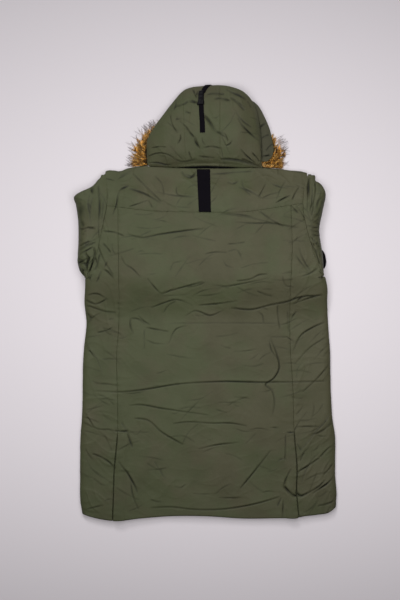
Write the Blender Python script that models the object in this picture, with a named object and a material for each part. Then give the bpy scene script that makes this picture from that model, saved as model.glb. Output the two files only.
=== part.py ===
"""Fur trimmed parka, laid face down with its hood up and its sleeves folded under it.

Sizes are in millimetres and become metres where a mesh is made. X runs across the coat, Y from the
hem to the hood, and Z up from the surface that the coat lies on. The origin is under the middle.
Each padded wall is a closed solid between two grids of points, one for its outside and one for its
inside. Panels that are sewn together share the same grid lines and stay SEAM_GAP apart.
"""
import bpy
import bmesh
import numpy as np

MM = 0.001

# Walls, and the small gaps between them
WALL = 7.0                      # shell cloth, wadding and lining together
SEAM_GAP = 0.4                  # between two panels that are sewn together
REST_GAP = 0.5                  # between two layers that rest on each other
INSIDE_GAP = 1.6                # between the back and the front of the empty coat
COAT = 2 * WALL + INSIDE_GAP    # thickness of the flattened coat
EDGE = COAT / 2                 # radius of its side and shoulder folds
SLEEVE_LAYERS = 4               # walls of one sleeve under the coat, folded once along its length
FOLDED_TOP = SLEEVE_LAYERS * WALL + 0.2
RISE = FOLDED_TOP + REST_GAP    # how far the folded sleeves lift the coat

# Heights up the coat
LIFT_FOOT, LIFT_TOP = -45.0, 74.0         # the ramp from the floor onto the folded sleeves
DROP_TOP, DROP_FOOT = 254.0, 338.0        # and down again towards the shoulders
VENT_TOP, VENT_OPENING = -322.0, 60.0     # where a vent starts, and the length over which it opens
VENT_GAP = 2.2
NECK_SLIT, NECK_SLIT_REACH = 1.3, 60.0    # half the slit's width in the middle, and its reach sideways

# Trimmings
FACING_THICK = 1.5
TAPE_THICK = 1.8
STRAP_THICK = 1.6
SLIDER_THICK = 4.5
PLACKET_HALF_WIDTH, PLACKET_THICK = 32.0, 3.0
PLACKET_LEDGE = 0.5             # slope of the recess that the placket lies in

# Hood
HOOD_MIDDLE = (-5.0, 354.0)
HOOD_INSIDE = (0.968, 0.968, 0.90)        # the lining, as the outside drawn in towards the middle
NECK_HEIGHT = 17.0
DOME_FLATNESS, DOME_FULLNESS = 2.4, 0.8   # powers in the dome's section
EQUATOR_OVER_LIP, SHORT_COLUMN = 6.0, 50.0
LIP_TURN, LARGEST_TURN = 2.5, 0.1
BAND_TOP, BAND_WALL = 18.6, 3.2
STRAP_BEND = (7.0, 13.0, 20.0)            # how far the strap's last rows lie to the right, over the crown

# Sleeves
FOLD_ANGLES = np.radians([90, 62, 34, 8, -18, -44, -68, -90])
FOLD_SHARE, INSIDE_SHARE = 0.8, 0.25      # of the width beside the armhole, and of the fold's own width
UNDER_END, SLEEVE_LONG_TOP = 238.4, 255.0
CLOSED_FOOT = (66.0, 90.0, 14.0)          # the lower end rises from the floor: from, to, height
CLOSED_HEAD = (250.0, 286.0)              # the upper end meets the shoulder: from, to
LAYER_GROOVE, LAYER_ROUNDING = 3.0, 4.0

# Colours
OLIVE = (0.082, 0.080, 0.048)
BLACK = (0.008, 0.007, 0.010)
GOLD = (0.42, 0.20, 0.06)

# Edges of the body: height up the coat, left edge, right edge
SIDE_EDGES = [(-545, -300, 303), (-525, -314, 319), (-505, -318, 324), (-440, -316, 322), (-332, -314, 320),
              (-292, -311, 314), (-232, -309, 311), (-112, -306, 308), (-52, -300, 304), (8, -304, 301),
              (40, -302, 300), (70, -301, 298.5)]
SIDE_SEAMS = [(-535, -234, 231), (-470, -232, 225), (-414, -230, 226), (-325, -222, 219), (-200, -223, 215),
              (-130, -224, 210), (-60, -219, 208), (50, -218, 210), (120, -219, 213), (240, -220, 210)]
ARMHOLES = [(66, -292, 289), (92, -283, 280), (120, -273, 269), (157, -265, 257), (195, -257, 247),
            (241, -248, 240), (286, -247, 243), (312, -250, 250), (332, -257, 257)]
# Lines across the coat: distance from the middle, height
HEM = [(-318, -509), (-306, -527), (-286, -535), (-234, -541.5), (-166, -537), (-86, -532), (-6, -532),
       (94, -538), (194, -536), (226, -537.5), (239, -531), (274, -527), (309, -519), (324, -503)]
YOKE_SEAM = [(-300, 245), (-248, 241.5), (-139, 228.7), (-21, 225.7), (111, 228), (179, 238), (239, 247),
             (300, 248)]
SHOULDER = [(-258, 327), (-232, 330), (-199, 334.5), (-160, 342), (-146, 343), (139, 338), (182, 334.5),
            (209, 331), (240, 329), (262, 324)]
NECK_LINE = [(-146, 341), (-74, 337.5), (0, 338.5), (84, 337), (139, 338)]
# Folded edges of the sleeves: height, left fold, right fold
SLEEVE_FOLDS = [(66, -303, 297), (78, -313, 293), (92, -319, 294), (120, -321, 291), (152, -319, 284),
                (183, -319, 281), (218, -321, 287.5), (245, -325, 293), (266, -327, 297), (277, -313, 296),
                (290, -286, 287), (308, -264, 271), (326, -259, 261)]
# Rib cuff: height, how far it comes out, its own height over the floor
CUFF_SECTIONS = [(86, 3, 2), (92, 5, 5), (101, 7, 8), (112, 7.5, 8), (123, 7, 8), (131, 5, 6), (136, 3, 3)]
CUFF_LOW, CUFF_GAP, CUFF_ROUNDING = 0.4, 1.2, 0.3

# Grid lines. Rows are heights at the middle of the coat, columns are distances from the middle at the yoke.
HEM_ROW, YOKE_ROW = -535.0, 232.0
BODY_ROWS = np.array([-535, -508, -478, -440, -400, -360, -322, -306, -290, -262, -236, -214, -198,
                      -182, -158, -130, -100, -72, -50, -32, -16, 0, 12, 24, 38, 54, 72, 92, 118, 148,
                      178, 208, 232])
UNDERARM_ROW = 25
VENT_ROW = 6
YOKE_STEPS = np.array([0.0, 0.2, 0.4, 0.6, 0.8, 1.0])
CHIN_STEP = 4
BACK_COLUMNS = np.array([-220, -193, -169, -146, -115, -84, -54, -24, 9, 41, 73, 106, 139, 161, 183, 210.0])
NECK_COLUMNS = (3, 12)
TAPE_COLUMNS = (7, 8)
SIDE_STEPS = np.array([0.35, 0.7, 1.0])
EDGE_ANGLES = np.radians([45, 0, -45])

# The largest folds: where each starts and ends, its height and half its width
FOLD_FADE, TROUGH_SHARE, TROUGH_PLACE = 1.5, 0.6, 1.7
DEEPEST, HIGHEST = -2.2, 4.5
FOLDS = [(-194, 174, -3, 185, 2.6, 14), (-60, 127, 30, 124, 1.8, 14), (75, 54, 152, 73, 2.6, 13),
         (-148, 62, -64, 40, 2.2, 13), (-64, 34, 0, 54, 2.0, 13), (-20, -6, 78, 5, 2.4, 12),
         (60, -14, 158, -6, 3.4, 13), (158, -6, 286, 18, 3.4, 13), (-172, -32, -138, -60, 2.2, 12),
         (-278, -219, -148, -215, 2.6, 12), (-148, -215, 0, -197, 2.8, 12), (0, -197, 296, -197, 2.8, 12),
         (-84, -301, 102, -308, 2.4, 12), (158, -86, 182, -165, 2.8, 12), (182, -165, 148, -203, 2.8, 12),
         (148, -203, 166, -282, 2.6, 12), (-181, -288, -58, -354, 2.6, 13), (-214, -387, -167, -510, 2.2, 12),
         (160, -368, 84, -463, 2.4, 13), (305, -262, 234, -355, 2.4, 12), (320, -347, 230, -418, 2.4, 12),
         (318, -425, 240, -488, 2.2, 12), (-139, -512, 40, -515, 2.2, 12), (40, -515, 184, -484, 2.2, 12),
         (-190, 285, -112, 249, 2.4, 13), (79, 289, 138, 260, 2.0, 13), (132, 228, 192, 189, 2.4, 12)]

# Hood columns: neck x, rim x, rim y, lip height, height of the dome above a straight line
HOOD_COLUMNS = [(-141, -146, 354, 17.6, 1), (-134, -147, 377, 17.6, 7), (-121, -146, 407, 17.6, 14),
                (-106, -129, 438, 17.6, 21), (-89, -110, 464, 17.6, 27), (-71, -85, 497, 12, 32),
                (-51, -59, 527, 5, 36), (-34, -37, 537, 5, 37), (-17, -17, 539.5, 5, 38),
                (-2.5, -2.5, 541, 5, 38), (33.5, 33, 542.5, 5, 38), (54, 61, 538, 14, 36),
                (74, 90, 526, 21.8, 32), (91, 111, 505, 21.8, 27), (106, 124, 475, 21.8, 22),
                (119, 131, 438, 21.8, 16), (129, 135, 400, 21.8, 10), (135, 136, 365, 21.8, 4),
                (137.5, 137, 352, 21.4, 1)]
HOOD_STEPS = np.array([0, 0.08, 0.18, 0.3, 0.43, 0.54, 0.66, 0.775, 0.86, 0.93, 0.975, 1.0])
STRAP_START, SLIDER_START, SLIDER_END = 4, 7, 9
HOOD_SEAMS = (6, 10)
STRAP_COLUMNS = (8, 9)
HOOD_FOLDS = [(34, 359, 122, 342, 2.6, 11), (86, 447, 134, 391, 2.2, 11), (7, 509, 91, 487, 2.2, 12),
              (-54, 445, -8, 353, 2.2, 12), (-4, 464, 22, 430, 2.4, 9), (-73, 491, -24, 497, 2.0, 10)]

# Front band of the hood: outer x, outer y, inner x, inner y
HOOD_BAND = [(97, 516, 84, 505), (128, 493, 100, 484), (146, 462, 112, 458), (158, 433, 119, 430),
             (165, 403, 124, 400), (168, 382, 126, 380), (163, 364, 126, 364), (151, 352, 124, 353)]

# Fur, along its middle: x, y, half width
FUR_PATH = [(164, 343.5, 29), (158, 374, 38), (137, 414, 28), (116, 455, 26), (80, 485, 25), (15, 502, 25),
            (-50, 485, 25), (-90, 452, 26), (-122, 415, 33), (-143, 380, 45), (-141, 348, 46)]
FUR_HEIGHT = 15.0
# The fur's section: across, as a share of its half width, and up, as a share of its height
FUR_SECTION = np.array([(-1.0, 0.25), (-0.8, 0.0), (0.8, 0.0), (1.0, 0.25), (0.82, 0.72), (0.4, 1.0),
                        (-0.4, 1.0), (-0.82, 0.72)])


def spline(table, column, at):
    """Smooth value of one column of a table, whose first column holds the stations."""
    rows = np.array(table, float)
    station, value = rows[:, 0], rows[:, column]
    slope = np.gradient(value, station)
    at = np.clip(at, station[0], station[-1])
    k = np.clip(np.searchsorted(station, at, side="right") - 1, 0, len(station) - 2)
    span = station[k + 1] - station[k]
    t = (at - station[k]) / span
    start = (1 + 2 * t) * (1 - t) ** 2 * value[k] + t * (1 - t) ** 2 * span * slope[k]
    end = t * t * (3 - 2 * t) * value[k + 1] + t * t * (t - 1) * span * slope[k + 1]
    return start + end


def ramp(t):
    """Soft step from 0 to 1."""
    t = np.clip(t, 0, 1)
    return t * t * (3 - 2 * t)


def underside(y):
    """Height of the coat's front over the floor: zero, or over the folded sleeves."""
    up = ramp((y - LIFT_FOOT) / (LIFT_TOP - LIFT_FOOT))
    down = ramp((DROP_FOOT - y) / (DROP_FOOT - DROP_TOP))
    return RISE * up * down


def fold_height(folds, x, y):
    """Height of the folds: a ridge along each line and a shallower trough below it."""
    height = np.zeros(np.broadcast(x, y).shape)
    for x0, y0, x1, y1, top, width in folds:
        length = np.hypot(x1 - x0, y1 - y0)
        along = ((x - x0) * (x1 - x0) + (y - y0) * (y1 - y0)) / length
        aside = ((y - y0) * (x1 - x0) - (x - x0) * (y1 - y0)) / length
        beyond = np.maximum(0, np.maximum(-along, along - length))
        fade = np.exp(-(beyond / (FOLD_FADE * width)) ** 2)
        ridge = np.exp(-(aside / width) ** 2)
        trough = TROUGH_SHARE * np.exp(-(aside / width + TROUGH_PLACE) ** 2)
        height += top * (ridge - trough) * fade
    return np.clip(height, DEEPEST, HIGHEST)


def points(x, y, z):
    """Grid of points from three arrays."""
    return np.stack(np.broadcast_arrays(x, y, z), axis=-1).astype(float)


def principled(name, colour, roughness):
    """A plain material of its own for one piece."""
    material = bpy.data.materials.new(name)
    material.use_nodes = True
    shader = material.node_tree.nodes["Principled BSDF"]
    shader.inputs["Base Color"].default_value = (*colour, 1.0)
    shader.inputs["Roughness"].default_value = roughness
    shader.inputs["Metallic"].default_value = 0.0
    return material


def add_object(name, vertices, faces, colour, roughness=0.8):
    """Mesh object in metres from points in millimetres, with its faces turned outwards."""
    mesh = bpy.data.meshes.new(name)
    mesh.from_pydata([tuple(p) for p in np.asarray(vertices) * MM], [], faces)
    tidy = bmesh.new()
    tidy.from_mesh(mesh)
    loose = [v for v in tidy.verts if not v.link_faces]
    bmesh.ops.delete(tidy, geom=loose, context="VERTS")
    bmesh.ops.recalc_face_normals(tidy, faces=tidy.faces)
    tidy.to_mesh(mesh)
    tidy.free()
    mesh.shade_smooth()
    mesh.set_sharp_from_angle(angle=np.radians(50))
    mesh.materials.append(principled(name, colour, roughness))
    piece = bpy.data.objects.new(name, mesh)
    bpy.context.scene.collection.objects.link(piece)
    return piece


def shell(name, outside, inside, colour, cells=None):
    """Closed wall between two grids, on the cells that are set, with a rim round every edge."""
    rows, columns = outside.shape[:2]
    if cells is None:
        cells = np.ones((rows - 1, columns - 1), bool)
    padded = np.pad(cells, 1)
    layer = rows * columns
    faces = []
    for i, j in zip(*np.nonzero(cells)):
        a, b = int(i * columns + j), int(i * columns + j + 1)
        c, d = b + columns, a + columns
        faces += [(a, b, c), (a, c, d), (a + layer, c + layer, b + layer), (a + layer, d + layer, c + layer)]
        rims = [(a, b, padded[i, j + 1]), (b, c, padded[i + 1, j + 2]), (c, d, padded[i + 2, j + 1]),
                (d, a, padded[i + 1, j])]
        for p, q, neighbour in rims:
            if not neighbour:
                faces += [(q, p, p + layer), (q, p + layer, q + layer)]
    vertices = np.concatenate([outside.reshape(-1, 3), inside.reshape(-1, 3)])
    return add_object(name, vertices, faces, colour)


def loft(name, rings, colour, roughness=0.8):
    """Closed solid through rings of points, with a flat fan at each end."""
    count, around = rings.shape[:2]
    ends = [rings[0].mean(axis=0), rings[-1].mean(axis=0)]
    faces = []
    for i in range(count - 1):
        for j in range(around):
            a, b = i * around + j, i * around + (j + 1) % around
            faces += [(a, b, b + around), (a, b + around, a + around)]
    first, last = count * around, count * around + 1
    for j in range(around):
        faces.append((first, (j + 1) % around, j))
        faces.append((last, (count - 1) * around + j, (count - 1) * around + (j + 1) % around))
    return add_object(name, np.concatenate([rings.reshape(-1, 3), ends]), faces, colour, roughness)


# ---------------------------------------------------------------- grid of the coat's body
def side_column(side):
    """1 for the left column of a two-sided table, 2 for the right."""
    return 1 if side < 0 else 2


def row_height(x, row):
    """Height of a row at x: it follows the hem at the bottom and the yoke seam at the top."""
    t = (row - HEM_ROW) / (YOKE_ROW - HEM_ROW)
    return spline(HEM, 1, x) * (1 - t) + spline(YOKE_SEAM, 1, x) * t


def edge_points(side):
    """Where the flat cloth ends on one side, on every body row: the armhole, or the start of the fold."""
    y = row_height(side * 270.0, BODY_ROWS)
    armhole = spline(ARMHOLES, side_column(side), y)
    fold = spline(SIDE_EDGES, side_column(side), y) - side * EDGE
    x = np.where(np.arange(len(y)) > UNDERARM_ROW, armhole, fold)
    return x, row_height(x, BODY_ROWS)


def yoke_edge(side):
    """The armhole beside the yoke, one point for each yoke step."""
    x = np.full(len(YOKE_STEPS), side * 245.0)
    for _ in range(3):
        y = yoke_height(x, YOKE_STEPS)
        x = spline(ARMHOLES, side_column(side), y)
    return x, yoke_height(x, YOKE_STEPS)


def yoke_height(x, step):
    """Height of a yoke row at x, from the yoke seam to the start of the shoulder fold."""
    return spline(YOKE_SEAM, 1, x) * (1 - step) + (spline(SHOULDER, 1, x) - EDGE) * step


def back_columns():
    """X of the back panel's columns on every body row."""
    left = spline(SIDE_SEAMS, 1, BODY_ROWS)[:, None]
    right = spline(SIDE_SEAMS, 2, BODY_ROWS)[:, None]
    share = (BACK_COLUMNS - BACK_COLUMNS[0]) / (BACK_COLUMNS[-1] - BACK_COLUMNS[0])
    return left + share * (right - left)


def seam_gap():
    """Half the gap at the side-back seams on every body row: it opens at the vents."""
    opened = ramp((VENT_TOP - BODY_ROWS) / VENT_OPENING)
    return (SEAM_GAP + (VENT_GAP - SEAM_GAP) * opened) / 2


def top_surface(x, y):
    """Outside of the coat's back."""
    return underside(y) + COAT + fold_height(FOLDS, x, y)


def back_grid():
    """Outside of the back panel."""
    x = back_columns()
    x[:, 0] += seam_gap()
    x[:, -1] -= seam_gap()
    y = row_height(x, BODY_ROWS[:, None])
    y[-1] -= SEAM_GAP / 2
    return points(x, y, top_surface(x, y))


def make_back_panel():
    """Back panel between the two side-back seams, with the facings of its vents lying on its edges."""
    outside = back_grid()
    inside = outside.copy()
    inside[..., 2] = underside(outside[..., 1]) + COAT - WALL
    shell("back_panel", outside, inside, OLIVE)
    make_strip("vent_facing_left", outside[:VENT_ROW + 1, :2], FACING_THICK, OLIVE)
    make_strip("vent_facing_right", outside[:VENT_ROW + 1, -2:], FACING_THICK, OLIVE)


def make_strip(name, base, thick, colour, lift=REST_GAP):
    """Strip lying on a panel: the panel's own points, moved straight out twice."""
    bottom = base + (0, 0, lift)
    return shell(name, bottom + (0, 0, thick), bottom, colour)


def make_side_panel(name, side):
    """Side panel: from the side-back seam round the side fold to the front."""
    seam_x = back_columns()[:, 0 if side < 0 else -1]
    inner_x = back_columns()[:, 1 if side < 0 else -2]
    edge_x, edge_y = edge_points(side)
    flat = seam_x[:, None] + SIDE_STEPS * (edge_x - seam_x)[:, None]
    # columns: seam, flat steps, three points round the fold, flat steps back, seam line, front seam
    x = np.concatenate([seam_x[:, None], flat, np.repeat(edge_x[:, None], 3, axis=1), flat[:, ::-1],
                        seam_x[:, None], inner_x[:, None]], axis=1)
    y = row_height(x, BODY_ROWS[:, None])
    x[:, 0] += side * seam_gap()
    x[:, -1] += side * SEAM_GAP / 2
    above = BODY_ROWS > BODY_ROWS[UNDERARM_ROW]
    for column in (3, 7):
        x[above, column] -= side * SEAM_GAP / 2
    y[-1] -= SEAM_GAP / 2
    y[UNDERARM_ROW, 3:8] -= SEAM_GAP
    low = underside(y)
    outside = points(x, y, low)
    inside = points(x, y, low + WALL)
    back = slice(0, 4)
    outside[:, back, 2] = top_surface(x[:, back], y[:, back])
    inside[:, back, 2] = low[:, back] + COAT - WALL
    outside[:, 3, 2] = low[:, 3] + COAT
    for column, angle in zip((4, 5, 6), EDGE_ANGLES):
        for grid, radius in ((outside, EDGE), (inside, EDGE - WALL)):
            grid[:, column, 0] = x[:, column] + side * radius * np.cos(angle)
            grid[:, column, 2] = low[:, column] + EDGE + radius * np.sin(angle)
    cells = np.ones((len(BODY_ROWS) - 1, x.shape[1] - 1), bool)
    cells[UNDERARM_ROW:, 3:7] = False
    return shell(name, outside, inside, OLIVE, cells)


def make_yoke():
    """Yoke: over the back, round both shoulder folds and down to the same height on the front."""
    steps = YOKE_STEPS
    left_x, _ = yoke_edge(-1)
    right_x, _ = yoke_edge(1)
    left = BACK_COLUMNS[0] + SIDE_STEPS[::-1] * (left_x[:, None] - BACK_COLUMNS[0])
    right = BACK_COLUMNS[-1] + SIDE_STEPS * (right_x[:, None] - BACK_COLUMNS[-1])
    middle = np.repeat(BACK_COLUMNS[None], len(steps), axis=0)
    x = np.concatenate([left, middle, right], axis=1)
    y = yoke_height(x, steps[:, None])
    first, last = NECK_COLUMNS[0] + 3, NECK_COLUMNS[1] + 3
    neck = slice(first + 1, last)
    end = spline(NECK_LINE, 1, x[-1, neck]) - neck_gap(x[-1, neck])
    y[:, neck] = spline(YOKE_SEAM, 1, x[0, neck]) * (1 - steps[:, None]) + end * steps[:, None]
    x[:, 0] += SEAM_GAP / 2
    x[:, -1] -= SEAM_GAP / 2
    y[0] += SEAM_GAP / 2
    back = points(x, y, top_surface(x, y))
    back[-1, :, 2] = underside(y[-1]) + COAT
    back_inside = points(x, y, underside(y) + COAT - WALL)
    front = points(x, y, underside(y))[::-1]
    front_inside = points(x, y, underside(y) + WALL)[::-1]
    outside, inside = [back], [back_inside]
    for angle in EDGE_ANGLES:
        for grids, radius in ((outside, EDGE), (inside, EDGE - WALL)):
            height = underside(y[-1]) + EDGE + radius * np.sin(angle)
            grids.append(points(x[-1], y[-1] + radius * np.cos(angle), height)[None])
    outside = np.concatenate(outside + [front])
    inside = np.concatenate(inside + [front_inside])
    cells = np.ones((outside.shape[0] - 1, outside.shape[1] - 1), bool)
    cells[len(steps) - 1:, first:last] = False
    shell("back_yoke", outside, inside, OLIVE, cells)
    tape = slice(TAPE_COLUMNS[0] + 3, TAPE_COLUMNS[1] + 4)
    make_strip("back_tape", back[:, tape], TAPE_THICK, BLACK)


def neck_gap(x):
    """Half the gap between the yoke and the hood: a slit, widest in the middle."""
    return SEAM_GAP / 2 + NECK_SLIT * np.exp(-(x / NECK_SLIT_REACH) ** 2)


def make_front(name, side):
    """Front: from the side seam to the closure, up to the chin, thinner under the placket."""
    edge, neck, inner = (1, 3, 5) if side < 0 else (-2, -4, -6)
    body = back_columns()
    body_x = np.stack([body[:, edge], body[:, neck], body[:, inner]], axis=1)
    body_y = row_height(body_x, BODY_ROWS[:, None])
    chin_x = np.repeat(BACK_COLUMNS[None, [edge, neck, inner]], CHIN_STEP, axis=0)
    chin_y = yoke_height(chin_x, YOKE_STEPS[1:CHIN_STEP + 1, None])
    x = np.concatenate([body_x, chin_x])
    y = np.concatenate([body_y, chin_y])
    x[:, 0] -= side * SEAM_GAP / 2
    upper = len(BODY_ROWS)
    x[upper - 1:, 1] -= side * SEAM_GAP
    step = side * (PLACKET_HALF_WIDTH + REST_GAP)
    closure = np.array([step, step - side * PLACKET_LEDGE, side * SEAM_GAP / 2])
    centre_x = np.repeat(closure[None], len(x), axis=0)
    rows = np.concatenate([BODY_ROWS, np.full(CHIN_STEP, YOKE_ROW)])[:, None]
    centre_y = row_height(centre_x, rows)
    centre_y[upper:] = yoke_height(centre_x[upper:], YOKE_STEPS[1:CHIN_STEP + 1, None])
    x = np.concatenate([x, centre_x], axis=1)
    y = np.concatenate([y, centre_y], axis=1)
    y[upper - 1] -= SEAM_GAP / 2
    low = underside(y)
    recess = np.array([0, 0, 0, 0, PLACKET_THICK + REST_GAP, PLACKET_THICK + REST_GAP])
    cells = np.ones((len(x) - 1, x.shape[1] - 1), bool)
    cells[upper - 1:, 0] = False
    return shell(name, points(x, y, low + recess), points(x, y, low + WALL), OLIVE, cells)


def make_placket():
    """Placket: a strip over the closure, on the outside of both fronts."""
    rows = BODY_ROWS[:, None]
    x = np.repeat(np.array([[-PLACKET_HALF_WIDTH, PLACKET_HALF_WIDTH]]), len(rows) + CHIN_STEP, axis=0)
    y = np.concatenate([row_height(x[:len(rows)], rows),
                        yoke_height(x[len(rows):], YOKE_STEPS[1:CHIN_STEP + 1, None])])
    low = underside(y)
    return shell("front_placket", points(x, y, low), points(x, y, low + PLACKET_THICK), OLIVE)


# ---------------------------------------------------------------- sleeves
def sleeve_base(y):
    """Height of the sleeve's underside: on the floor between its two closed ends."""
    foot, foot_end, raised = CLOSED_FOOT
    head, head_end = CLOSED_HEAD
    below = raised * (1 - ramp((y - foot) / (foot_end - foot)))
    above = underside(y) * ramp((y - head) / (head_end - head))
    return below + above


def make_sleeve(name, side):
    """Sleeve: from the armhole over its folded edge and under the coat."""
    body_x, body_y = edge_points(side)
    yoke_x, yoke_y = yoke_edge(side)
    arm_x = np.concatenate([body_x[UNDERARM_ROW + 1:-1], yoke_x])
    y = np.concatenate([body_y[UNDERARM_ROW + 1:-1], yoke_y])
    start_y = body_y[UNDERARM_ROW] + SEAM_GAP
    y = np.concatenate([[start_y], y])
    arm_x = np.concatenate([[body_x[UNDERARM_ROW]], arm_x]) + side * SEAM_GAP / 2
    fold_x = spline(SLEEVE_FOLDS, side_column(side), y)
    top, base = underside(y) + COAT, sleeve_base(y)
    tall = (top - base) / 2
    wide = np.minimum(tall, FOLD_SHARE * np.abs(fold_x - arm_x))
    start_x = fold_x - side * wide
    middle = (arm_x + start_x) / 2
    under_x = np.minimum(np.abs(arm_x), np.abs(start_x)) * side
    grids = []
    for inset in (0.0, WALL):
        level = [points(arm_x, y, top - inset), points(middle, y, top - inset)]
        across = np.maximum(wide - inset, INSIDE_SHARE * wide)
        for angle in FOLD_ANGLES:
            level.append(points(start_x + side * across * np.cos(angle), y,
                                (top + base) / 2 + (tall - inset) * np.sin(angle)))
        level.append(points(under_x, y, base + inset))
        level.append(points(side * UNDER_END, y, base + inset))
        grids.append(np.stack(level, axis=1))
    cells = np.ones((len(y) - 1, grids[0].shape[1] - 1), bool)
    cells[y[1:] > SLEEVE_LONG_TOP, -1] = False
    return shell(name, grids[0], grids[1], OLIVE, cells)


def layered_ring(x, y0, y1, z0, z1):
    """Ring of a flat bundle whose long edges show its layers as scallops."""
    layer = (z1 - z0) / SLEEVE_LAYERS
    heights = z0 + layer / 2 * np.arange(2 * SLEEVE_LAYERS + 1)
    inset = np.where(np.arange(len(heights)) % 2 == 0, LAYER_GROOVE, 0.0)
    inset[[0, -1]] = LAYER_ROUNDING
    low = points(x, y0 + inset, heights)
    high = points(x, y1 - inset, heights)[::-1]
    return np.concatenate([low, high])


def make_folded_sleeve(name, side):
    """The hidden length of a sleeve: its folded layers as one bundle, from the fold to the middle."""
    outer = 294 if side < 0 else 254
    under = WALL + REST_GAP
    # distance from the middle, lower edge, upper edge, underside, top
    sections = [(outer + 7, 122, 232, 12, 24), (outer, 108, 242, under, FOLDED_TOP),
                (UNDER_END - 0.5, 108, 242, under, FOLDED_TOP), (UNDER_END - 0.9, 108, 242, 0, FOLDED_TOP),
                (225, 80, 250, 0, FOLDED_TOP), (120, 78, 250, 0, FOLDED_TOP), (20, 80, 246, 0, FOLDED_TOP),
                (6, 90, 238, 2, FOLDED_TOP - 2)]
    rings = np.array([layered_ring(side * x, y0, y1, z0, z1) for x, y0, y1, z0, z1 in sections])
    return loft(name, rings, OLIVE)


def make_cuff():
    """The rib cuff of the right sleeve, whose end shows under the sleeve's fold."""
    rings = []
    for y, reach, height in CUFF_SECTIONS:
        arm = spline(ARMHOLES, 2, y)
        fold = spline(SLEEVE_FOLDS, 2, y)
        tall = (RISE + COAT) / 2
        wide = min(tall, FOLD_SHARE * (fold - arm))
        z = np.array([CUFF_LOW, 0.5 * height, height])
        curve = fold - wide + wide * np.sqrt(1 - ((z - tall) / tall) ** 2) + CUFF_GAP
        end = curve[-1] + reach
        rounded = end - CUFF_ROUNDING * reach
        outer = points(np.array([rounded, end, rounded]), y, z[::-1])
        rings.append(np.concatenate([points(curve, y, z), outer]))
    return loft("cuff_right", np.array(rings), BLACK)


# ---------------------------------------------------------------- hood
def hood_grid():
    """Outside of the whole hood: columns run from the neck over the dome to the lip of the face opening."""
    table = np.array(HOOD_COLUMNS, float)
    neck_x, rim_x, rim_y, lip, dome = table.T
    neck_y = spline(NECK_LINE, 1, neck_x) + neck_gap(neck_x)
    v = HOOD_STEPS[:, None]
    x = neck_x + (rim_x - neck_x) * v
    y = neck_y + (rim_y - neck_y) * v
    rise = (1 - np.abs(2 * v - 1) ** DOME_FLATNESS) ** DOME_FULLNESS
    length = np.hypot(rim_x - neck_x, rim_y - neck_y)
    equator = lip + EQUATOR_OVER_LIP * np.minimum(1, length / SHORT_COLUMN)
    z = NECK_HEIGHT * (1 - v) + equator * v + dome * rise
    z = z + fold_height(HOOD_FOLDS, x, y) * rise
    turn = np.minimum(LIP_TURN / length, LARGEST_TURN)
    lip_row = points(rim_x - (rim_x - neck_x) * turn, rim_y - (rim_y - neck_y) * turn, lip)
    return np.concatenate([points(x, y, z), lip_row[None]])


def drawn_in(grid):
    """The hood's lining: its outside scaled towards the middle of the hood, at floor level."""
    middle = np.array([*HOOD_MIDDLE, 0.0])
    return middle + (grid - middle) * np.array(HOOD_INSIDE)


def moved_out(grid, distance):
    """Points moved along the grid's own normals."""
    along = np.gradient(grid, axis=0)
    across = np.gradient(grid, axis=1)
    normal = np.cross(across, along)
    normal /= np.linalg.norm(normal, axis=-1, keepdims=True)
    return grid + normal * distance


def strap_grid(outside):
    """The centre strip's points with the strap's two columns moved to the right over the crown."""
    grid = outside.copy()
    for row, bend in enumerate(STRAP_BEND, start=len(outside) - len(STRAP_BEND)):
        for column in STRAP_COLUMNS:
            places = outside[row, :, 0]
            for axis in (1, 2):
                grid[row, column, axis] = np.interp(places[column] + bend, places, outside[row, :, axis])
            grid[row, column, 0] = places[column] + bend
    return grid


def make_hood():
    """Hood: left side, centre strip and right side, with the strap and its slider on the strip."""
    outside = hood_grid()
    inside = drawn_in(outside)
    parts = [("hood_left", 0, HOOD_SEAMS[0]), ("hood_centre", *HOOD_SEAMS),
             ("hood_right", HOOD_SEAMS[1], len(HOOD_COLUMNS) - 1)]
    for name, first, last in parts:
        panel = [grid[:, first:last + 1].copy() for grid in (outside, inside)]
        for grid in panel:
            if first > 0:
                grid[:, 0, 0] += SEAM_GAP / 2
            if last < len(HOOD_COLUMNS) - 1:
                grid[:, -1, 0] -= SEAM_GAP / 2
        shell(name, panel[0], panel[1], OLIVE)
    columns = slice(STRAP_COLUMNS[0] - 1, STRAP_COLUMNS[1] + 2)
    base = strap_grid(outside)[:, columns]
    own = slice(1, 3)
    seat = REST_GAP
    rows = slice(STRAP_START, len(HOOD_STEPS) + 1)
    low, high = moved_out(base, seat), moved_out(base, seat + STRAP_THICK)
    shell("hood_strap", high[rows, own], low[rows, own], BLACK)
    seat += STRAP_THICK + REST_GAP
    rows = slice(SLIDER_START, SLIDER_END + 1)
    low, high = moved_out(base, seat), moved_out(base, seat + SLIDER_THICK)
    shell("hood_strap_slider", high[rows, own], low[rows, own], BLACK)


def make_hood_band():
    """Front of the hood: a flatter band that comes out from under the right side's edge."""
    outer_x, outer_y, inner_x, inner_y = np.array(HOOD_BAND, float).T
    share = np.array([0, 0.5, 1.0])
    x = inner_x[:, None] + (outer_x - inner_x)[:, None] * share
    y = inner_y[:, None] + (outer_y - inner_y)[:, None] * share
    return shell("hood_front", points(x, y, BAND_TOP), points(x, y, BAND_TOP - BAND_WALL), OLIVE)


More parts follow.
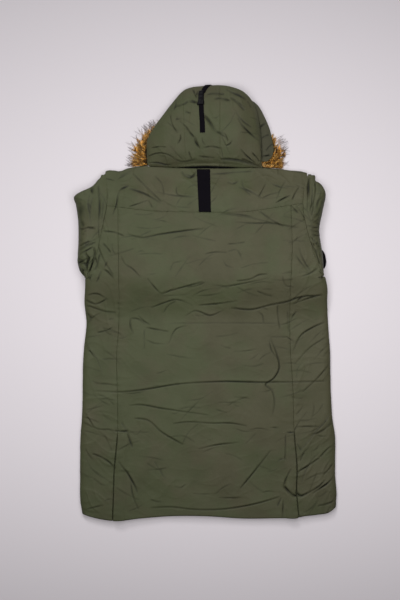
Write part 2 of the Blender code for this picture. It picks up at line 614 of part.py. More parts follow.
def make_fur():
    """Fur trim: a soft roll round the face opening, lying flat on the floor."""
    table = np.array(FUR_PATH, float)
    along = np.linspace(0, len(table) - 1, 2 * len(table) - 1)
    stations = np.column_stack([np.arange(len(table)), table])
    x, y, half = (spline(stations, column, along) for column in (1, 2, 3))
    tangent = np.stack([np.gradient(x), np.gradient(y)])
    tangent /= np.linalg.norm(tangent, axis=0)
    side = np.stack([-tangent[1], tangent[0]])
    across = FUR_SECTION[:, 0] * half[:, None]
    rings = points(x[:, None] + side[0][:, None] * across, y[:, None] + side[1][:, None] * across,
                   FUR_SECTION[:, 1] * FUR_HEIGHT)
    return loft("fur_trim", rings, GOLD, 0.9)


def clear_scene():
    """Remove whatever the scene holds."""
    for item in list(bpy.data.objects):
        bpy.data.objects.remove(item, do_unlink=True)


def make_parka():
    """All pieces of the parka."""
    clear_scene()
    make_back_panel()
    make_yoke()
    make_side_panel("side_panel_left", -1)
    make_side_panel("side_panel_right", 1)
    make_front("front_left", -1)
    make_front("front_right", 1)
    make_placket()
    make_sleeve("sleeve_left", -1)
    make_sleeve("sleeve_right", 1)
    make_folded_sleeve("sleeve_left_folded", -1)
    make_folded_sleeve("sleeve_right_folded", 1)
    make_cuff()
    make_hood()
    make_hood_band()
    make_fur()


make_parka()
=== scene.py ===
"""Looks of the fur trimmed parka: every panel as a padded wall on its solid's form, with its creases, seams
and stitches, the webbing, the knit cuff and the fur. Sizes are in millimetres and become metres in a mesh."""
import bpy
import numpy as np
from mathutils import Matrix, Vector


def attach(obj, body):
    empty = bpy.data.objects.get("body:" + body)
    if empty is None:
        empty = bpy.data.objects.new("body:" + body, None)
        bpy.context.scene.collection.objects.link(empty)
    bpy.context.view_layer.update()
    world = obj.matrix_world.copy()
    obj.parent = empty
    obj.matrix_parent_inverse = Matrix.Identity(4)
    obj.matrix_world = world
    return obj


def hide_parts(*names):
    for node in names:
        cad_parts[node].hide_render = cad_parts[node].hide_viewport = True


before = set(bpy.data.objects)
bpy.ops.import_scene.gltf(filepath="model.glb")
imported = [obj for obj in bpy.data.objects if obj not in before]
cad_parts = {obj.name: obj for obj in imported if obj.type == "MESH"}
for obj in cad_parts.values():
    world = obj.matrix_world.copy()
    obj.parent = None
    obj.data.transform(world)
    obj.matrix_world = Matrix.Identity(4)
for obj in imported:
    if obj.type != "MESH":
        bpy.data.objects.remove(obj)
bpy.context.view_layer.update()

# ---------------------------------------------------------------- back panel
# The middle of the back, cut in one piece from the yoke seam to the hem. It is olive taffeta over wadding and
# a lining, and it lies loose over the folded sleeves, so the packing folds and wrinkles show in it.
MM = 0.001
WALL, COAT = 7.0, 15.6                      # one padded wall, and the whole flattened coat
SEAM_GAP, VENT_GAP = 0.2, 2.8
SEAM_DIP, HEM_RADIUS = 0.7, 3.2             # radius of a panel's edge at a seam, and of the hem's two edges
RISE = 28.7                                 # how far the folded sleeves lift the coat
LIFT_FOOT, LIFT_TOP = -45.0, 74.0           # the ramp up onto the sleeves, as heights up the coat
DROP_TOP, DROP_FOOT = 254.0, 338.0          # and down again towards the shoulders
HEM_ROW, YOKE_ROW, VENT_TOP = -535.0, 232.0, -322.0
BACK_WIDTH, BACK_STEP = 440.0, 2.1          # the panel's width and its grid's step
SEEN_INSIDE, ALL_OVER = 8, 99               # cells of a wall's inside that are closed along its edges
# Lines across the coat: distance from the middle, height
HEM = [(-318, -525), (-306, -529), (-294, -532.5), (-276, -537.3), (-257, -541), (-232, -544), (-166, -538),
       (-86, -532), (-6, -532), (94, -538), (194, -537), (226, -537), (239, -533.5), (274, -529),
       (309, -521.5), (324, -511)]
YOKE_SEAM = [(-300, 245), (-248, 241.5), (-139, 228.7), (-21, 225.7), (111, 228), (179, 238), (239, 247),
             (300, 248)]
# Lines up the coat: height, left line, right line
SIDE_SEAMS = [(-535, -234, 231), (-470, -232, 225), (-414, -230, 226), (-325, -222, 219), (-200, -223, 215),
              (-130, -224, 210), (-60, -219, 208), (50, -218, 210), (120, -219, 213), (240, -220, 210)]
ARMHOLES = [(66, -292, 289), (92, -283, 280), (120, -273, 269), (157, -265, 257), (195, -257, 247),
            (241, -248, 240), (286, -247, 243), (312, -250, 250), (332, -257, 257)]
# Main creases: ridge, valley and half width, then the points of the line. The ridge is on the line's left.
CREASES = [
    # The long ones, from the yoke down to the hem
    (3.9, 2.7, 12, (-194, 285), (-157, 273), (-114, 248)),
    (3.3, 2.0, 11, (-184, 323), (-148, 287), (-112, 251)),
    (2.7, 1.4, 17, (-125, 276), (-75, 266), (-30, 264)), (3.3, 2.2, 12, (79, 289), (108, 277), (138, 260)),
    (2.2, 2.2, 11, (131, 228), (160, 207), (193, 189)),
    (1.9, 1.6, 12, (34, 221), (97, 214), (175, 196), (229, 187)),
    (2.4, 2.4, 14, (-198, 173), (-171, 163), (-112, 171), (-48, 180), (-2, 185)),
    (1.5, 1.2, 12, (-5, 121), (20, 126), (52, 125)),
    (2.0, 1.8, 12, (75, 54), (111, 60), (129, 69), (152, 72)),
    (1.7, 1.6, 11, (-148, 62), (-130, 40), (-114, 23)), (2.0, 1.7, 12, (-114, 23), (-66, 37), (-7, 53)),
    (1.9, 1.7, 11, (-21, -6), (25, -2), (77, 5)),
    (2.7, 3.1, 13, (61, -13), (115, -16), (156, -6), (206, 5), (229, 14), (288, 19)),
    (1.5, 1.4, 10, (-171, -31), (-155, -46), (-139, -56)), (1.9, 1.7, 11, (-152, -61), (-94, -72)),
    (1.2, 1.2, 9, (-182, -76), (-191, -52), (-187, -38)), (1.0, 1.0, 9, (-155, -115), (-155, -65)),
    (1.7, 1.6, 11, (-52, -33), (-30, -20), (11, -31), (43, -18)), (0.0, 0.9, 7, (-262, -140), (-211, -140)),
    (0.0, 0.8, 7, (159, -85), (206, -85)), (0.0, 1.0, 7, (-95, -51), (30, -50), (182, -51)),
    (2.0, 1.9, 12, (-283, -219), (-216, -222), (-148, -215), (-75, -203), (-2, -197)),
    (2.4, 2.6, 12, (-40, -200), (43, -196), (138, -198), (220, -197), (300, -195)),
    (1.9, 1.7, 11, (-84, -301), (-48, -297), (15, -300), (61, -300), (102, -307)),
    (1.0, 1.1, 9, (159, -311), (181, -311)),
    (2.4, 2.4, 12, (165, -281), (170, -249), (163, -218), (148, -204), (168, -188), (181, -165),
     (175, -126), (159, -86)),
    (1.9, 1.6, 12, (-194, -256), (-171, -254), (-112, -263), (6, -280)),
    (2.2, 2.0, 13, (-180, -288), (-148, -292), (-112, -322), (-57, -354)),
    (1.7, 1.6, 12, (-21, -365), (20, -355), (81, -348)), (1.5, 1.2, 12, (-102, -440), (-130, -395)),
    (2.2, 2.0, 14, (84, -463), (115, -426), (161, -367)),
    (2.0, 2.0, 12, (-139, -511), (-94, -509), (-30, -515), (34, -515), (88, -508), (138, -497),
     (184, -483)),
    (1.2, 1.1, 9, (29, -486), (88, -486)),
    # On the side panels
    (2.0, 1.6, 11, (262, -330), (290, -318), (318, -296)),
    (1.8, 1.4, 11, (240, -222), (275, -190), (309, -150)),
    (1.6, 1.3, 11, (222, -150), (258, -112), (300, -84)),
    (2.0, 0.4, 8, (-257, -181), (-275, -136), (-302, -99)),
    # On the yoke and at the shoulders
    (2.0, 0.5, 9, (-223, 308), (-203, 318), (-184, 326)),
    (2.4, 1.5, 7, (-235, 328), (-218, 321), (-210, 325)),
    (3.0, 2.4, 8, (-233, 218), (-223, 246), (-220, 266), (-215, 281)),
    (2.6, 2.6, 7, (-217, 280), (-207, 286), (-192, 291)),
    (2.0, 1.6, 8, (-192, 239), (-167, 247), (-145, 255)),
    (1.8, 1.2, 7, (-145, 255), (-139, 246), (-134, 236)),
    (2.2, 1.6, 7, (-228, 305), (-243, 309), (-258, 311)),
    (2.6, 2.2, 9, (-257, 178), (-232, 176), (-204, 166)),
    (2.4, 1.7, 9, (-75, 289), (-73, 271), (-48, 264), (-30, 264)),
    (3.0, 3.1, 7, (-62, 328), (-53, 317), (-39, 313), (-28, 323)),
    (2.4, 2.4, 7, (-53, 321), (-32, 316), (-25, 330)),
    (2.4, 2.0, 9, (11, 321), (43, 323), (79, 326), (116, 328)),
    (2.4, 1.9, 9, (52, 301), (66, 297), (81, 303)), (2.1, 1.7, 9, (88, 308), (93, 285), (111, 267)),
    (3.0, 2.6, 8, (172, 248), (190, 259), (210, 268)), (2.6, 2.0, 8, (213, 256), (221, 274), (231, 289)),
    (2.8, 2.2, 8, (209, 243), (219, 232), (229, 222)), (2.4, 1.2, 6, (179, 318), (177.5, 326), (177, 334)),
    (2.6, 1.0, 7, (212, 325), (232, 319), (252, 316)), (2.2, 1.6, 8, (129, 262), (139, 280), (147, 296)),
    (3.0, 1.4, 8, (226, 239), (241, 215), (250, 200)), (2.0, 1.5, 9, (158, 300), (180, 290), (205, 287)),
    (2.1, 1.4, 10, (-130, 317), (-112, 298), (-105, 267)),
    (2.0, 1.5, 9, (138, 260), (156, 269), (184, 276)),
    # Between the yoke and the middle of the back
    (1.5, 1.4, 9, (38, 222), (70, 221), (116, 214)),
    (1.9, 1.7, 10, (70, 201), (116, 198), (156, 198), (220, 185)),
    (1.4, 1.2, 10, (52, 146), (75, 148), (97, 151)),
    (1.4, 1.3, 9, (-212, 117), (-203, 98), (-184, 85), (-162, 62)),
    (1.7, 1.6, 10, (-112, 21), (-98, 27), (-84, 34)),
    (1.4, 1.3, 9, (16, 44), (52, 42), (88, 48), (156, 62)), (1.5, 1.4, 9, (125, 30), (147, 21), (163, 17)),
    (2.4, 2.3, 9, (216, -2), (243, 8), (288, 21)), (2.4, 2.6, 8, (225, 5), (234, 12), (245, 16)),
    (1.5, 1.6, 10, (-139, -13), (-112, -2), (-75, 8), (-53, 5)),
    (1.4, 1.3, 9, (-107, -24), (-94, -6), (-75, 5)), (1.4, 1.6, 8, (-182, -79), (-189, -56), (-191, -38)),
    (1.4, 1.4, 8, (-191, -38), (-171, -40), (-153, -54)), (2.4, 2.3, 9, (-303, 8), (-275, -2), (-248, 10)),
    (2.2, 2.2, 9, (-300, -6), (-280, -12), (-257, -20), (-225, -24)),
    (2.0, 2.0, 8, (-305, -20), (-294, -29), (-287, -42)), (1.8, 1.7, 8, (-298, 19), (-275, 23), (-244, 8)),
    (2.0, 2.0, 9, (-273, -74), (-253, -70), (-234, -61)),
    (2.0, 1.7, 10, (-303, -97), (-294, -115), (-275, -140)),
    (1.8, 1.4, 10, (-259, 85), (-246, 76), (-230, 62)), (1.8, 1.6, 9, (-280, 121), (-273, 103), (-269, 85)),
    (1.8, 1.6, 10, (-271, 144), (-253, 103), (-230, 67)), (2.0, 1.8, 10, (229, 139), (243, 103), (261, 76)),
    (1.8, 1.6, 9, (220, 121), (238, 96), (256, 76)), (1.8, 1.6, 9, (238, 67), (256, 73), (279, 89)),
    (1.5, 1.4, 10, (188, 67), (197, 44), (216, 39)), (1.5, 1.4, 9, (211, -42), (218, -29), (225, -20)),
    (1.5, 1.6, 9, (156, -92), (163, -120), (179, -140)), (1.5, 1.6, 9, (184, -65), (179, -38), (177, -2)),
    (1.4, 1.3, 8, (202, -20), (204, -47), (206, -74)),
    (2.4, 2.2, 11, (216, -120), (238, -79), (266, -61), (297, -47)), (1.4, 1.2, 9, (197, -83), (220, -97)),
    (1.4, 1.2, 9, (-48, 39), (-21, 44), (-3, 52)), (1.4, 1.2, 9, (-94, -102), (-75, -65), (-48, -56)),
    (1.2, 1.1, 9, (125, -20), (138, -29), (143, -52)),
    (1.4, 1.2, 10, (-298, -52), (-280, -33), (-262, -24)),
    (2.0, 2.1, 7, (-257, 148), (-246, 136), (-238, 125)),
    (2.0, 2.1, 8, (-254, 87), (-250, 95), (-247, 104)), (2.2, 2.3, 8, (-273, 50), (-267, 65), (-262, 80)),
    (1.8, 1.7, 8, (-254, 84), (-242, 76), (-234, 68)), (2.2, 2.6, 8, (-277, 81), (-270, 100), (-265, 122)),
    # Towards the hem and round the vents
    (2.2, 2.9, 9, (-219, -394), (-211, -407), (-200, -420), (-186, -443), (-176, -462), (-171, -476)),
    (1.5, 1.6, 8, (-189, -443), (-184, -478), (-176, -500), (-169, -515)),
    (2.4, 2.3, 9, (-285, -376), (-266, -383), (-244, -396), (-231, -409)),
    (2.0, 1.2, 9, (-307, -299), (-286, -308), (-266, -315), (-242, -316), (-230, -320)),
    (3.4, 0.6, 5, (-305, -271), (-294, -288), (-279, -311)),
    (2.0, 2.9, 6, (-184, -361), (-192, -340), (-198, -318)),
    (1.4, 1.2, 6, (-197, -321), (-206, -308), (-213, -297)), (1.4, 1.4, 8, (-162, -291), (-176, -288)),
    (1.2, 1.0, 8, (-308, -517), (-279, -509), (-255, -504)),
    (3.6, 1.8, 8, (309, -276), (295, -298), (272, -322), (252, -349), (237, -366)),
    (1.5, 1.8, 6, (196, -392), (197, -360), (197, -327)),
    (2.0, 1.8, 7, (190, -536), (191, -510), (192, -488)),
    (3.2, 2.4, 8, (226, -422), (242, -413), (258, -403), (275, -391), (283, -386)),
    (2.0, 1.8, 8, (283, -385), (298, -369), (312, -356)),
    (2.2, 2.1, 8, (293, -428), (305, -416), (317, -401)),
    (2.6, 2.9, 9, (265, -475), (288, -460), (305, -448), (319, -433)),
    (2.2, 4.2, 6, (231, -483), (241, -480), (252, -475)),
    (2.6, 2.2, 8, (240, -480), (262, -469), (281, -457), (298, -441)),
    (2.2, 2.1, 10, (278, -506), (298, -502), (319, -495)),
    (1.8, 1.4, 8, (221, -309), (250, -308), (283, -308)),
    (1.8, 2.1, 6, (238, -369), (231, -359), (226, -351)),
    (1.6, 1.8, 6, (235, -393), (238, -383), (245, -373)),
    (1.4, 1.4, 8, (196, -388), (186, -390), (178, -395)),
    (1.5, 1.9, 8, (188, -485), (181, -498), (176, -510)),
    (1.4, 1.3, 8, (258, -400), (245, -425), (238, -448)),
    (1.9, 3.6, 7, (-229, -319), (-213, -320), (-195, -320)), (1.7, 2.6, 7, (198, -323), (222, -323)),
    (2.5, 6.6, 9, (193, -456), (201, -466), (211, -476), (220, -481), (228, -481)),
    (2.0, 2.4, 9, (193, -456), (198, -440), (206, -423), (212, -413)),
    (2.0, 7.0, 12, (223, -470), (227, -477), (234, -482)),
]


def spline(table, column, at):
    """Smooth value of one column of a table, whose first column holds the stations. Between two stations it
    is the cubic with the table's values and their central slopes."""
    rows = np.array(table, float)
    station, value = rows[:, 0], rows[:, column]
    slope = np.gradient(value, station)
    at = np.clip(at, station[0], station[-1])
    k = np.clip(np.searchsorted(station, at, side="right") - 1, 0, len(station) - 2)
    span = station[k + 1] - station[k]
    t = (at - station[k]) / span
    start = (1 + 2 * t) * (1 - t) ** 2 * value[k] + t * (1 - t) ** 2 * span * slope[k]
    end = t * t * (3 - 2 * t) * value[k + 1] + t * t * (t - 1) * span * slope[k + 1]
    return start + end


def line_at(table, side, at):
    """The left line of a table for side -1, and its right line for side 1."""
    return spline(table, 1 if side < 0 else 2, at)


def ramp(t):
    """Soft step: 0 below 0, 1 above 1, and 3 t squared minus 2 t cubed between them."""
    t = np.clip(t, 0, 1)
    return t * t * (3 - 2 * t)


def bell(t):
    """Bell curve: e to the power of minus t squared."""
    return np.exp(-t ** 2)


def rounded(distance, radius):
    """How far a face falls beside its edge: a quarter circle of the radius."""
    inside = np.clip(radius - distance, 0, radius)
    return radius - np.sqrt(radius ** 2 - inside ** 2)


def stations(length, step):
    """Shares of a length for grid lines: close together beside both ends, one step apart between them."""
    close = np.array([0, 0.5, 1.1, 1.8, 2.8, 4.2, 6.2])
    count = max(2, round((length - 2 * close[-1]) / step))
    middle = np.linspace(close[-1], length - close[-1], count + 1)[1:-1]
    return np.concatenate([close, middle, length - close[::-1]]) / length


def points_of(x, y, z):
    """Points of a grid from its three coordinates."""
    return np.stack(np.broadcast_arrays(x, y, z), axis=-1)


def underside(y):
    """Height of the coat's front over the floor: zero, or RISE over the folded sleeves, with a soft ramp at
    each end of them."""
    up = ramp((y - LIFT_FOOT) / (LIFT_TOP - LIFT_FOOT))
    down = ramp((DROP_FOOT - y) / (DROP_FOOT - DROP_TOP))
    return RISE * up * down


def back_level(y):
    """Height of the coat's back over the floor, without its creases."""
    return underside(y) + COAT


def body_rows(step):
    """Rows of a panel that reaches from the hem to the yoke seam, as a column."""
    return HEM_ROW + stations(YOKE_ROW - HEM_ROW, step)[:, None] * (YOKE_ROW - HEM_ROW)


def row_height(x, row):
    """Height of a row at x: it follows the hem at the bottom and the yoke seam at the top."""
    t = (row - HEM_ROW) / (YOKE_ROW - HEM_ROW)
    return spline(HEM, 1, x) * (1 - t) + spline(YOKE_SEAM, 1, x) * t


def to_yoke_seam(x, y):
    """Distance up to the edge of a panel that ends at the yoke seam."""
    return spline(YOKE_SEAM, 1, x) - SEAM_GAP / 2 - y


def hem_roll(x, y):
    """How far both faces of a wall draw in beside the hem."""
    return rounded(y - spline(HEM, 1, x), HEM_RADIUS)


def seam_half_gap(row):
    """Half the gap at the side-back seams: it opens below the top of the vents."""
    return (SEAM_GAP + (VENT_GAP - SEAM_GAP) * ramp((VENT_TOP + 3 - row) / 16.0)) / 2


def line_through(corners, step=3.0):
    """A smooth line through some points: each coordinate is a spline over the length of the chords."""
    spots = np.array(corners, float)
    chord = np.concatenate([[0], np.cumsum(np.hypot(*np.diff(spots, axis=0).T))])
    table = np.column_stack([chord, spots])
    at = np.linspace(0, chord[-1], max(4, round(chord[-1] / step)))
    return np.stack([spline(table, 1, at), spline(table, 2, at)], axis=1)


def crease_field(creases, x, y):
    """Height and painted shade that creases give at x, y. Across its line a crease rises steeply on the left
    and dies away slowly, as a difference of exponentials, falls a little on the right in the same way, and is
    sunk on the line itself by a bell curve. The shade is painted into the colour as a triangle on the line,
    wider and darker for a deeper one. Along the line all of it swells and fades as the root of a half sine,
    unevenly."""
    height, shade = np.zeros(x.shape), np.zeros(x.shape)
    for number, (ridge, valley, width, *corners) in enumerate(creases):
        line = line_through(corners)
        low, high = line.min(axis=0) - 3 * width, line.max(axis=0) + 3 * width
        near = (x > low[0]) & (x < high[0]) & (y > low[1]) & (y < high[1])
        away = np.stack([x[near], y[near]], axis=-1)[:, None] - line
        k = np.argmin((away ** 2).sum(axis=-1), axis=1)
        away = away[np.arange(len(k)), k]
        along = np.gradient(line, axis=0)
        pace = np.linalg.norm(along, axis=1)
        ahead = along[k] / pace[k, None]
        aside = (ahead[:, 0] * away[:, 1] - ahead[:, 1] * away[:, 0]) / width
        share = (k + (ahead * away).sum(axis=1) / pace[k]) / (len(line) - 1)
        fade = np.sin(np.pi * np.clip(share, 0, 1)) ** 0.45
        fade *= 0.85 + 0.3 * np.sin(share * (5 + number % 5) + 1.7 * number)
        left, right, off = np.clip(aside, 0, None), np.clip(-aside, 0, None), np.abs(aside) * width
        form = 0.7 * np.exp(-left / 0.8) + 0.7 * np.exp(-left / 0.3) - 1.4 * np.exp(-left / 0.1)
        form -= 0.35 * (np.exp(-right / 0.7) - np.exp(-right / 0.2))
        sunk = 1.1 * valley * bell(off / (1.25 + 0.2 * valley))
        height[near] += fade * (ridge * form - sunk)
        # painted shade: how dark the crease's line is coloured, and how far that colour reaches
        dark, reach = min(1.2, 0.4 + 0.27 * valley), 1.45 + 0.33 * valley
        shade[near] = np.maximum(shade[near], fade * dark * np.clip(1.2 - off / reach, 0, 1))
    return height, shade


def scattered(seed, count, area, lean, spread):
    """Short faint creases over an area (left, right, low, high): middles, lengths and bows by a seeded
    generator, and directions that spread about one lean, in radians."""
    pick = np.random.default_rng(seed)
    x, y = pick.uniform(*area[:2], count), pick.uniform(*area[2:], count)
    turn = lean + spread * pick.standard_normal(count)
    half, bow = pick.uniform(10, 38, count), pick.normal(0, 3.5, count)
    strength, width = pick.uniform(0.25, 0.9, count), pick.uniform(6, 10, count)
    dx, dy = np.cos(turn), np.sin(turn)
    ends = [(x - half * dx, y - half * dy), (x - bow * dy, y + bow * dx), (x + half * dx, y + half * dy)]
    return [(strength[i], 0.7 * strength[i], width[i], *[(e[0][i], e[1][i]) for e in ends])
            for i in range(count)]


def pucker(distance, along):
    """Small gathers beside a seam: two uneven waves along it that die away with the distance from it."""
    wave = np.sin(along / 2.9 + 2 * np.sin(along / 17)) + 0.7 * np.sin(along / 4.7 + 1.3 * np.sin(along / 31))
    return 0.32 * wave * np.exp(-distance / 10)


def seam_relief(distance, along, depth, reach):
    """Gathers beside a seam in a hollow, which is a bell curve of a depth and a reach."""
    return pucker(distance, along) - depth * bell(distance / reach)


def crumples(x, y, turn):
    """Small sharp creases of crumpled cloth. Each of four sets is a warped wave across its own direction,
    near one turn. A crease stands where the wave's sine is zero, steep on one side, and shows in patches
    alone."""
    height = np.zeros(np.broadcast(x, y).shape)
    for k in range(4):
        angle = turn + 0.5 * (k - 1.5)
        along, across = x * np.cos(angle) + y * np.sin(angle), y * np.cos(angle) - x * np.sin(angle)
        warp = 1.5 * np.sin(along / 41 + 2 * k) + 0.7 * np.sin(along / 17 + across / 29)
        wave = np.sin(across / (8 + 2 * k) + warp)
        patch = np.sin(along / 39 + 1.9 * k + 1.3 * np.sin(across / 38))
        patch = patch * np.sin(across / 31 - 1.1 * k + np.sin(along / 61))
        height += np.exp(-np.where(wave > 0, wave / 0.13, -wave / 0.5)) * np.clip(1.6 * patch, 0, 1)
    return height


BACK_CREASES = (CREASES + scattered(3, 70, (-300, 300, -520, 0), 0.05, 0.35)
                + scattered(4, 60, (-250, 250, 0, 320), 0.1, 0.45)
                + scattered(5, 26, (228, 318, -520, -20), 0.85, 0.25)
                + scattered(6, 20, (-310, -235, -500, -20), -0.55, 0.4))


def back_relief(x, y):
    """What the crumpled cloth adds to the plain form of the back, and the painted shade of its creases: slow
    billows as products of sines, the creases, and the gathers and hollows along the seams."""
    height, shade = crease_field(BACK_CREASES, x, y)
    height += 1.3 * np.sin(x / 31 + 1.3 * np.sin(y / 67)) * np.sin(y / 39 + 0.9 * np.sin(x / 83))
    height += 0.5 * np.sin(x / 14 + y / 29) * np.sin(y / 17 - x / 41)
    right, left, upper = ramp((x - 195) / 50), ramp((-x - 195) / 50), ramp((y - 205) / 40)
    height += (0.4 + 1.0 * upper) * (1 - right) * (1 - left) * crumples(x, y, 0.1)
    height += 1.0 * right * crumples(x, y, 0.8) + 0.9 * left * crumples(x, y, -0.5)
    below_yoke, above_underarm = ramp((spline(YOKE_SEAM, 1, x) - y) / 6), ramp((y - 60) / 12)
    for side in (-1, 1):
        height += below_yoke * seam_relief(np.abs(x - line_at(SIDE_SEAMS, side, y)), y, 0.5, 4.5)
        height += above_underarm * seam_relief(np.abs(x - line_at(ARMHOLES, side, y)), y + 40, 0.6, 5)
    height += seam_relief(np.abs(y - spline(YOKE_SEAM, 1, x)), x, 0.5, 4.5)
    return height, shade


def make_object(name, points, faces, material):
    """Mesh object in metres from points in millimetres and an array of faces, smooth all over. It is returned
    with the numbers of the points that its faces use."""
    corners = faces.shape[1]
    used, faces = np.unique(faces, return_inverse=True)
    faces = faces.reshape(-1, corners)
    mesh = bpy.data.meshes.new(name)
    mesh.vertices.add(len(used))
    mesh.vertices.foreach_set("co", (points[used] * MM).astype(np.float32).ravel())
    mesh.loops.add(faces.size)
    mesh.loops.foreach_set("vertex_index", faces.astype(np.int32).ravel())
    mesh.polygons.add(len(faces))
    mesh.polygons.foreach_set("loop_start", np.arange(0, faces.size, corners, dtype=np.int32))
    mesh.update(calc_edges=True)
    mesh.shade_smooth()
    mesh.materials.append(material)
    piece = bpy.data.objects.new(name, mesh)
    bpy.context.scene.collection.objects.link(piece)
    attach(piece, "root")
    return piece, used


def mark(piece, used, name, values):
    """A float attribute of the piece's points, which its material reads."""
    layer = piece.data.attributes.new(name, "FLOAT", "POINT")
    layer.data.foreach_set("value", values[used].astype(np.float32))


def wall(name, outer, inner, material, shade, gap=None, margin=SEEN_INSIDE):
    """Padded wall between two grids of points. Each cell outside the gap gives a face on the outer grid, and
    a face joins the grids wherever such a cell has no neighbour. The inner grid is closed over a margin along
    such edges, as far as the wall's inside can be seen. Faces look from the inner grid to the outer one, and
    the painted shade of the creases is kept as the attribute crease, which darkens the colour."""
    rows, columns = outer.shape[:2]
    number, layer = np.arange(rows * columns).reshape(rows, columns), rows * columns
    keep = np.ones((rows - 1, columns - 1), bool)
    if gap is not None:
        keep[gap] = False
    corners = [number[i:rows - 1 + i, j:columns - 1 + j] for i, j in ((0, 0), (0, 1), (1, 1), (1, 0))]
    a, b, c, d = (corner[keep] for corner in corners)
    deep = keep.copy()
    for _ in range(margin):
        around = np.pad(deep, 1)
        deep &= around[:-2, 1:-1] & around[2:, 1:-1] & around[1:-1, :-2] & around[1:-1, 2:]
    inside = [corner[keep & ~deep] + layer for corner in corners]
    faces = [np.stack([a, b, c, d], axis=1), np.stack(inside[::-1], axis=1)]
    around = np.pad(keep, 1)
    below, right, above, left = around[:-2, 1:-1], around[1:-1, 2:], around[2:, 1:-1], around[1:-1, :-2]
    for start, end, beside in ((a, b, below), (b, c, right), (c, d, above), (d, a, left)):
        bare = ~beside[keep]
        p, q = start[bare], end[bare]
        faces.append(np.stack([q, p, p + layer, q + layer], axis=1))
    faces = np.concatenate(faces)
    points = np.concatenate([outer.reshape(-1, 3), inner.reshape(-1, 3)])
    looks = np.cross(points[b] - points[a], points[d] - points[a])
    if (looks * (points[a] - points[a + layer])).sum() < 0:
        faces = faces[:, ::-1]
    piece, used = make_object(name, points, faces, material)
    mark(piece, used, "crease", np.concatenate([shade.ravel(), np.zeros(layer)]))
    return piece


def strip(name, outer, inner, material, shade=0.0):
    """A thin wall, closed on its inside too."""
    return wall(name, outer, inner, material, shade + np.zeros(outer.shape[:2]), margin=ALL_OVER)


def nodes_of(name):
    """A new material, as three short ways: to add a node for one of its outputs, to blend two colours, and to
    finish the shader. A value that is an output is joined to its input, and any other is written into it."""
    material = bpy.data.materials.new(name)
    material.use_nodes = True
    tree = material.node_tree

    def put(socket, value):
        if isinstance(value, bpy.types.NodeSocket):
            tree.links.new(value, socket)
        else:
            socket.default_value = (*value, 1) if socket.type == "RGBA" else value

    def add(kind, output, *inputs, **values):
        node = tree.nodes.new("ShaderNode" + kind)
        for key, value in values.items():
            if hasattr(node, key):
                setattr(node, key, value)
            else:
                put(node.inputs[key.replace("_", " ")], value)
        for socket, value in zip(node.inputs, inputs):
            put(socket, value)
        return node.outputs[output]

    def blend(share, first, second):
        node = tree.nodes.new("ShaderNodeMix")
        node.data_type = "RGBA"
        for place, value in ((0, share), (6, first), (7, second)):
            put(node.inputs[place], value)
        return node.outputs[2]

    def finish(**values):
        for key, value in values.items():
            put(tree.nodes["Principled BSDF"].inputs[key.replace("_", " ")], value)
        return material

    return add, blend, finish


def taffeta(name, dark, light, warm):
    """Olive taffeta: three close shades mixed by slow noises and by the creases, whose painted shade, with
    darker patches of noise, blends towards the dark one; a fine twill of crossed waves and soft crumples in
    the bump, and a low sheen."""
    add, blend, finish = nodes_of(name)
    place = add("TexCoord", "Object")
    drift = add("TexNoise", "Fac", place, Scale=9.0, Detail=4.0, Roughness=0.6)
    tone = add("TexNoise", "Fac", place, Scale=16.0, Detail=4.0, Roughness=0.6)
    lean = add("Math", "Value", add("SeparateXYZ", "X", place), 0.3, drift, operation="MULTIPLY_ADD")
    spread = add("MapRange", "Result", lean, From_Min=0.40, From_Max=0.61)
    patchy = add("MapRange", "Result", tone, From_Min=0.42, From_Max=0.75, To_Max=0.16)
    # painted shade of the creases, added to patches of darker tone, darkens the colour towards dark
    painted_crease_shade = add("Attribute", "Fac", attribute_name="crease")
    deep = add("Math", "Value", painted_crease_shade, 0.8, patchy, operation="MULTIPLY_ADD")
    stretched = add("Mapping", "Vector", place, Scale=(0.55, 1.0, 1.0))
    crumple = add("TexNoise", "Fac", stretched, Scale=38.0, Detail=5.0, Roughness=0.55, Distortion=0.7)
    soft = add("Bump", "Normal", Height=crumple, Strength=0.5, Distance=0.0016)
    wrinkles = add("TexNoise", "Fac", stretched, noise_type="RIDGED_MULTIFRACTAL", Scale=17.0, Detail=3.0,
                   Roughness=0.6, Distortion=0.5)
    sharp = add("Bump", "Normal", Height=wrinkles, Normal=soft, Strength=0.35, Distance=0.0014)
    twill = add("TexWave", "Fac", place, Scale=330.0, Distortion=0.6, Detail=1.0, bands_direction="DIAGONAL")
    weft = add("TexWave", "Fac", place, Scale=420.0, Distortion=0.4, bands_direction="Y")
    weave = add("Math", "Value", twill, weft, operation="ADD")
    fine = add("Bump", "Normal", Height=weave, Normal=sharp, Strength=0.25, Distance=0.0001)
    return finish(Base_Color=blend(deep, blend(spread, light, warm), dark), Normal=fine,
                  Roughness=add("MapRange", "Result", tone, To_Min=0.58, To_Max=0.74),
                  Sheen_Weight=0.05, Sheen_Roughness=0.45, Sheen_Tint=(0.75, 0.78, 0.62),
                  Specular_IOR_Level=0.25)


# dark is the colour that the painted crease shade and the darker patches blend towards
OLIVE = taffeta("olive_taffeta", dark=(0.008, 0.0088, 0.004), light=(0.0555, 0.0625, 0.0275),
                warm=(0.0620, 0.0595, 0.0300))


def dressed(piece, node):
    """A piece in place of its solid, which is hidden."""
    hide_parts(node)


def sewn(piece, node):
    """The same for a cloth."""
    dressed(piece, node)


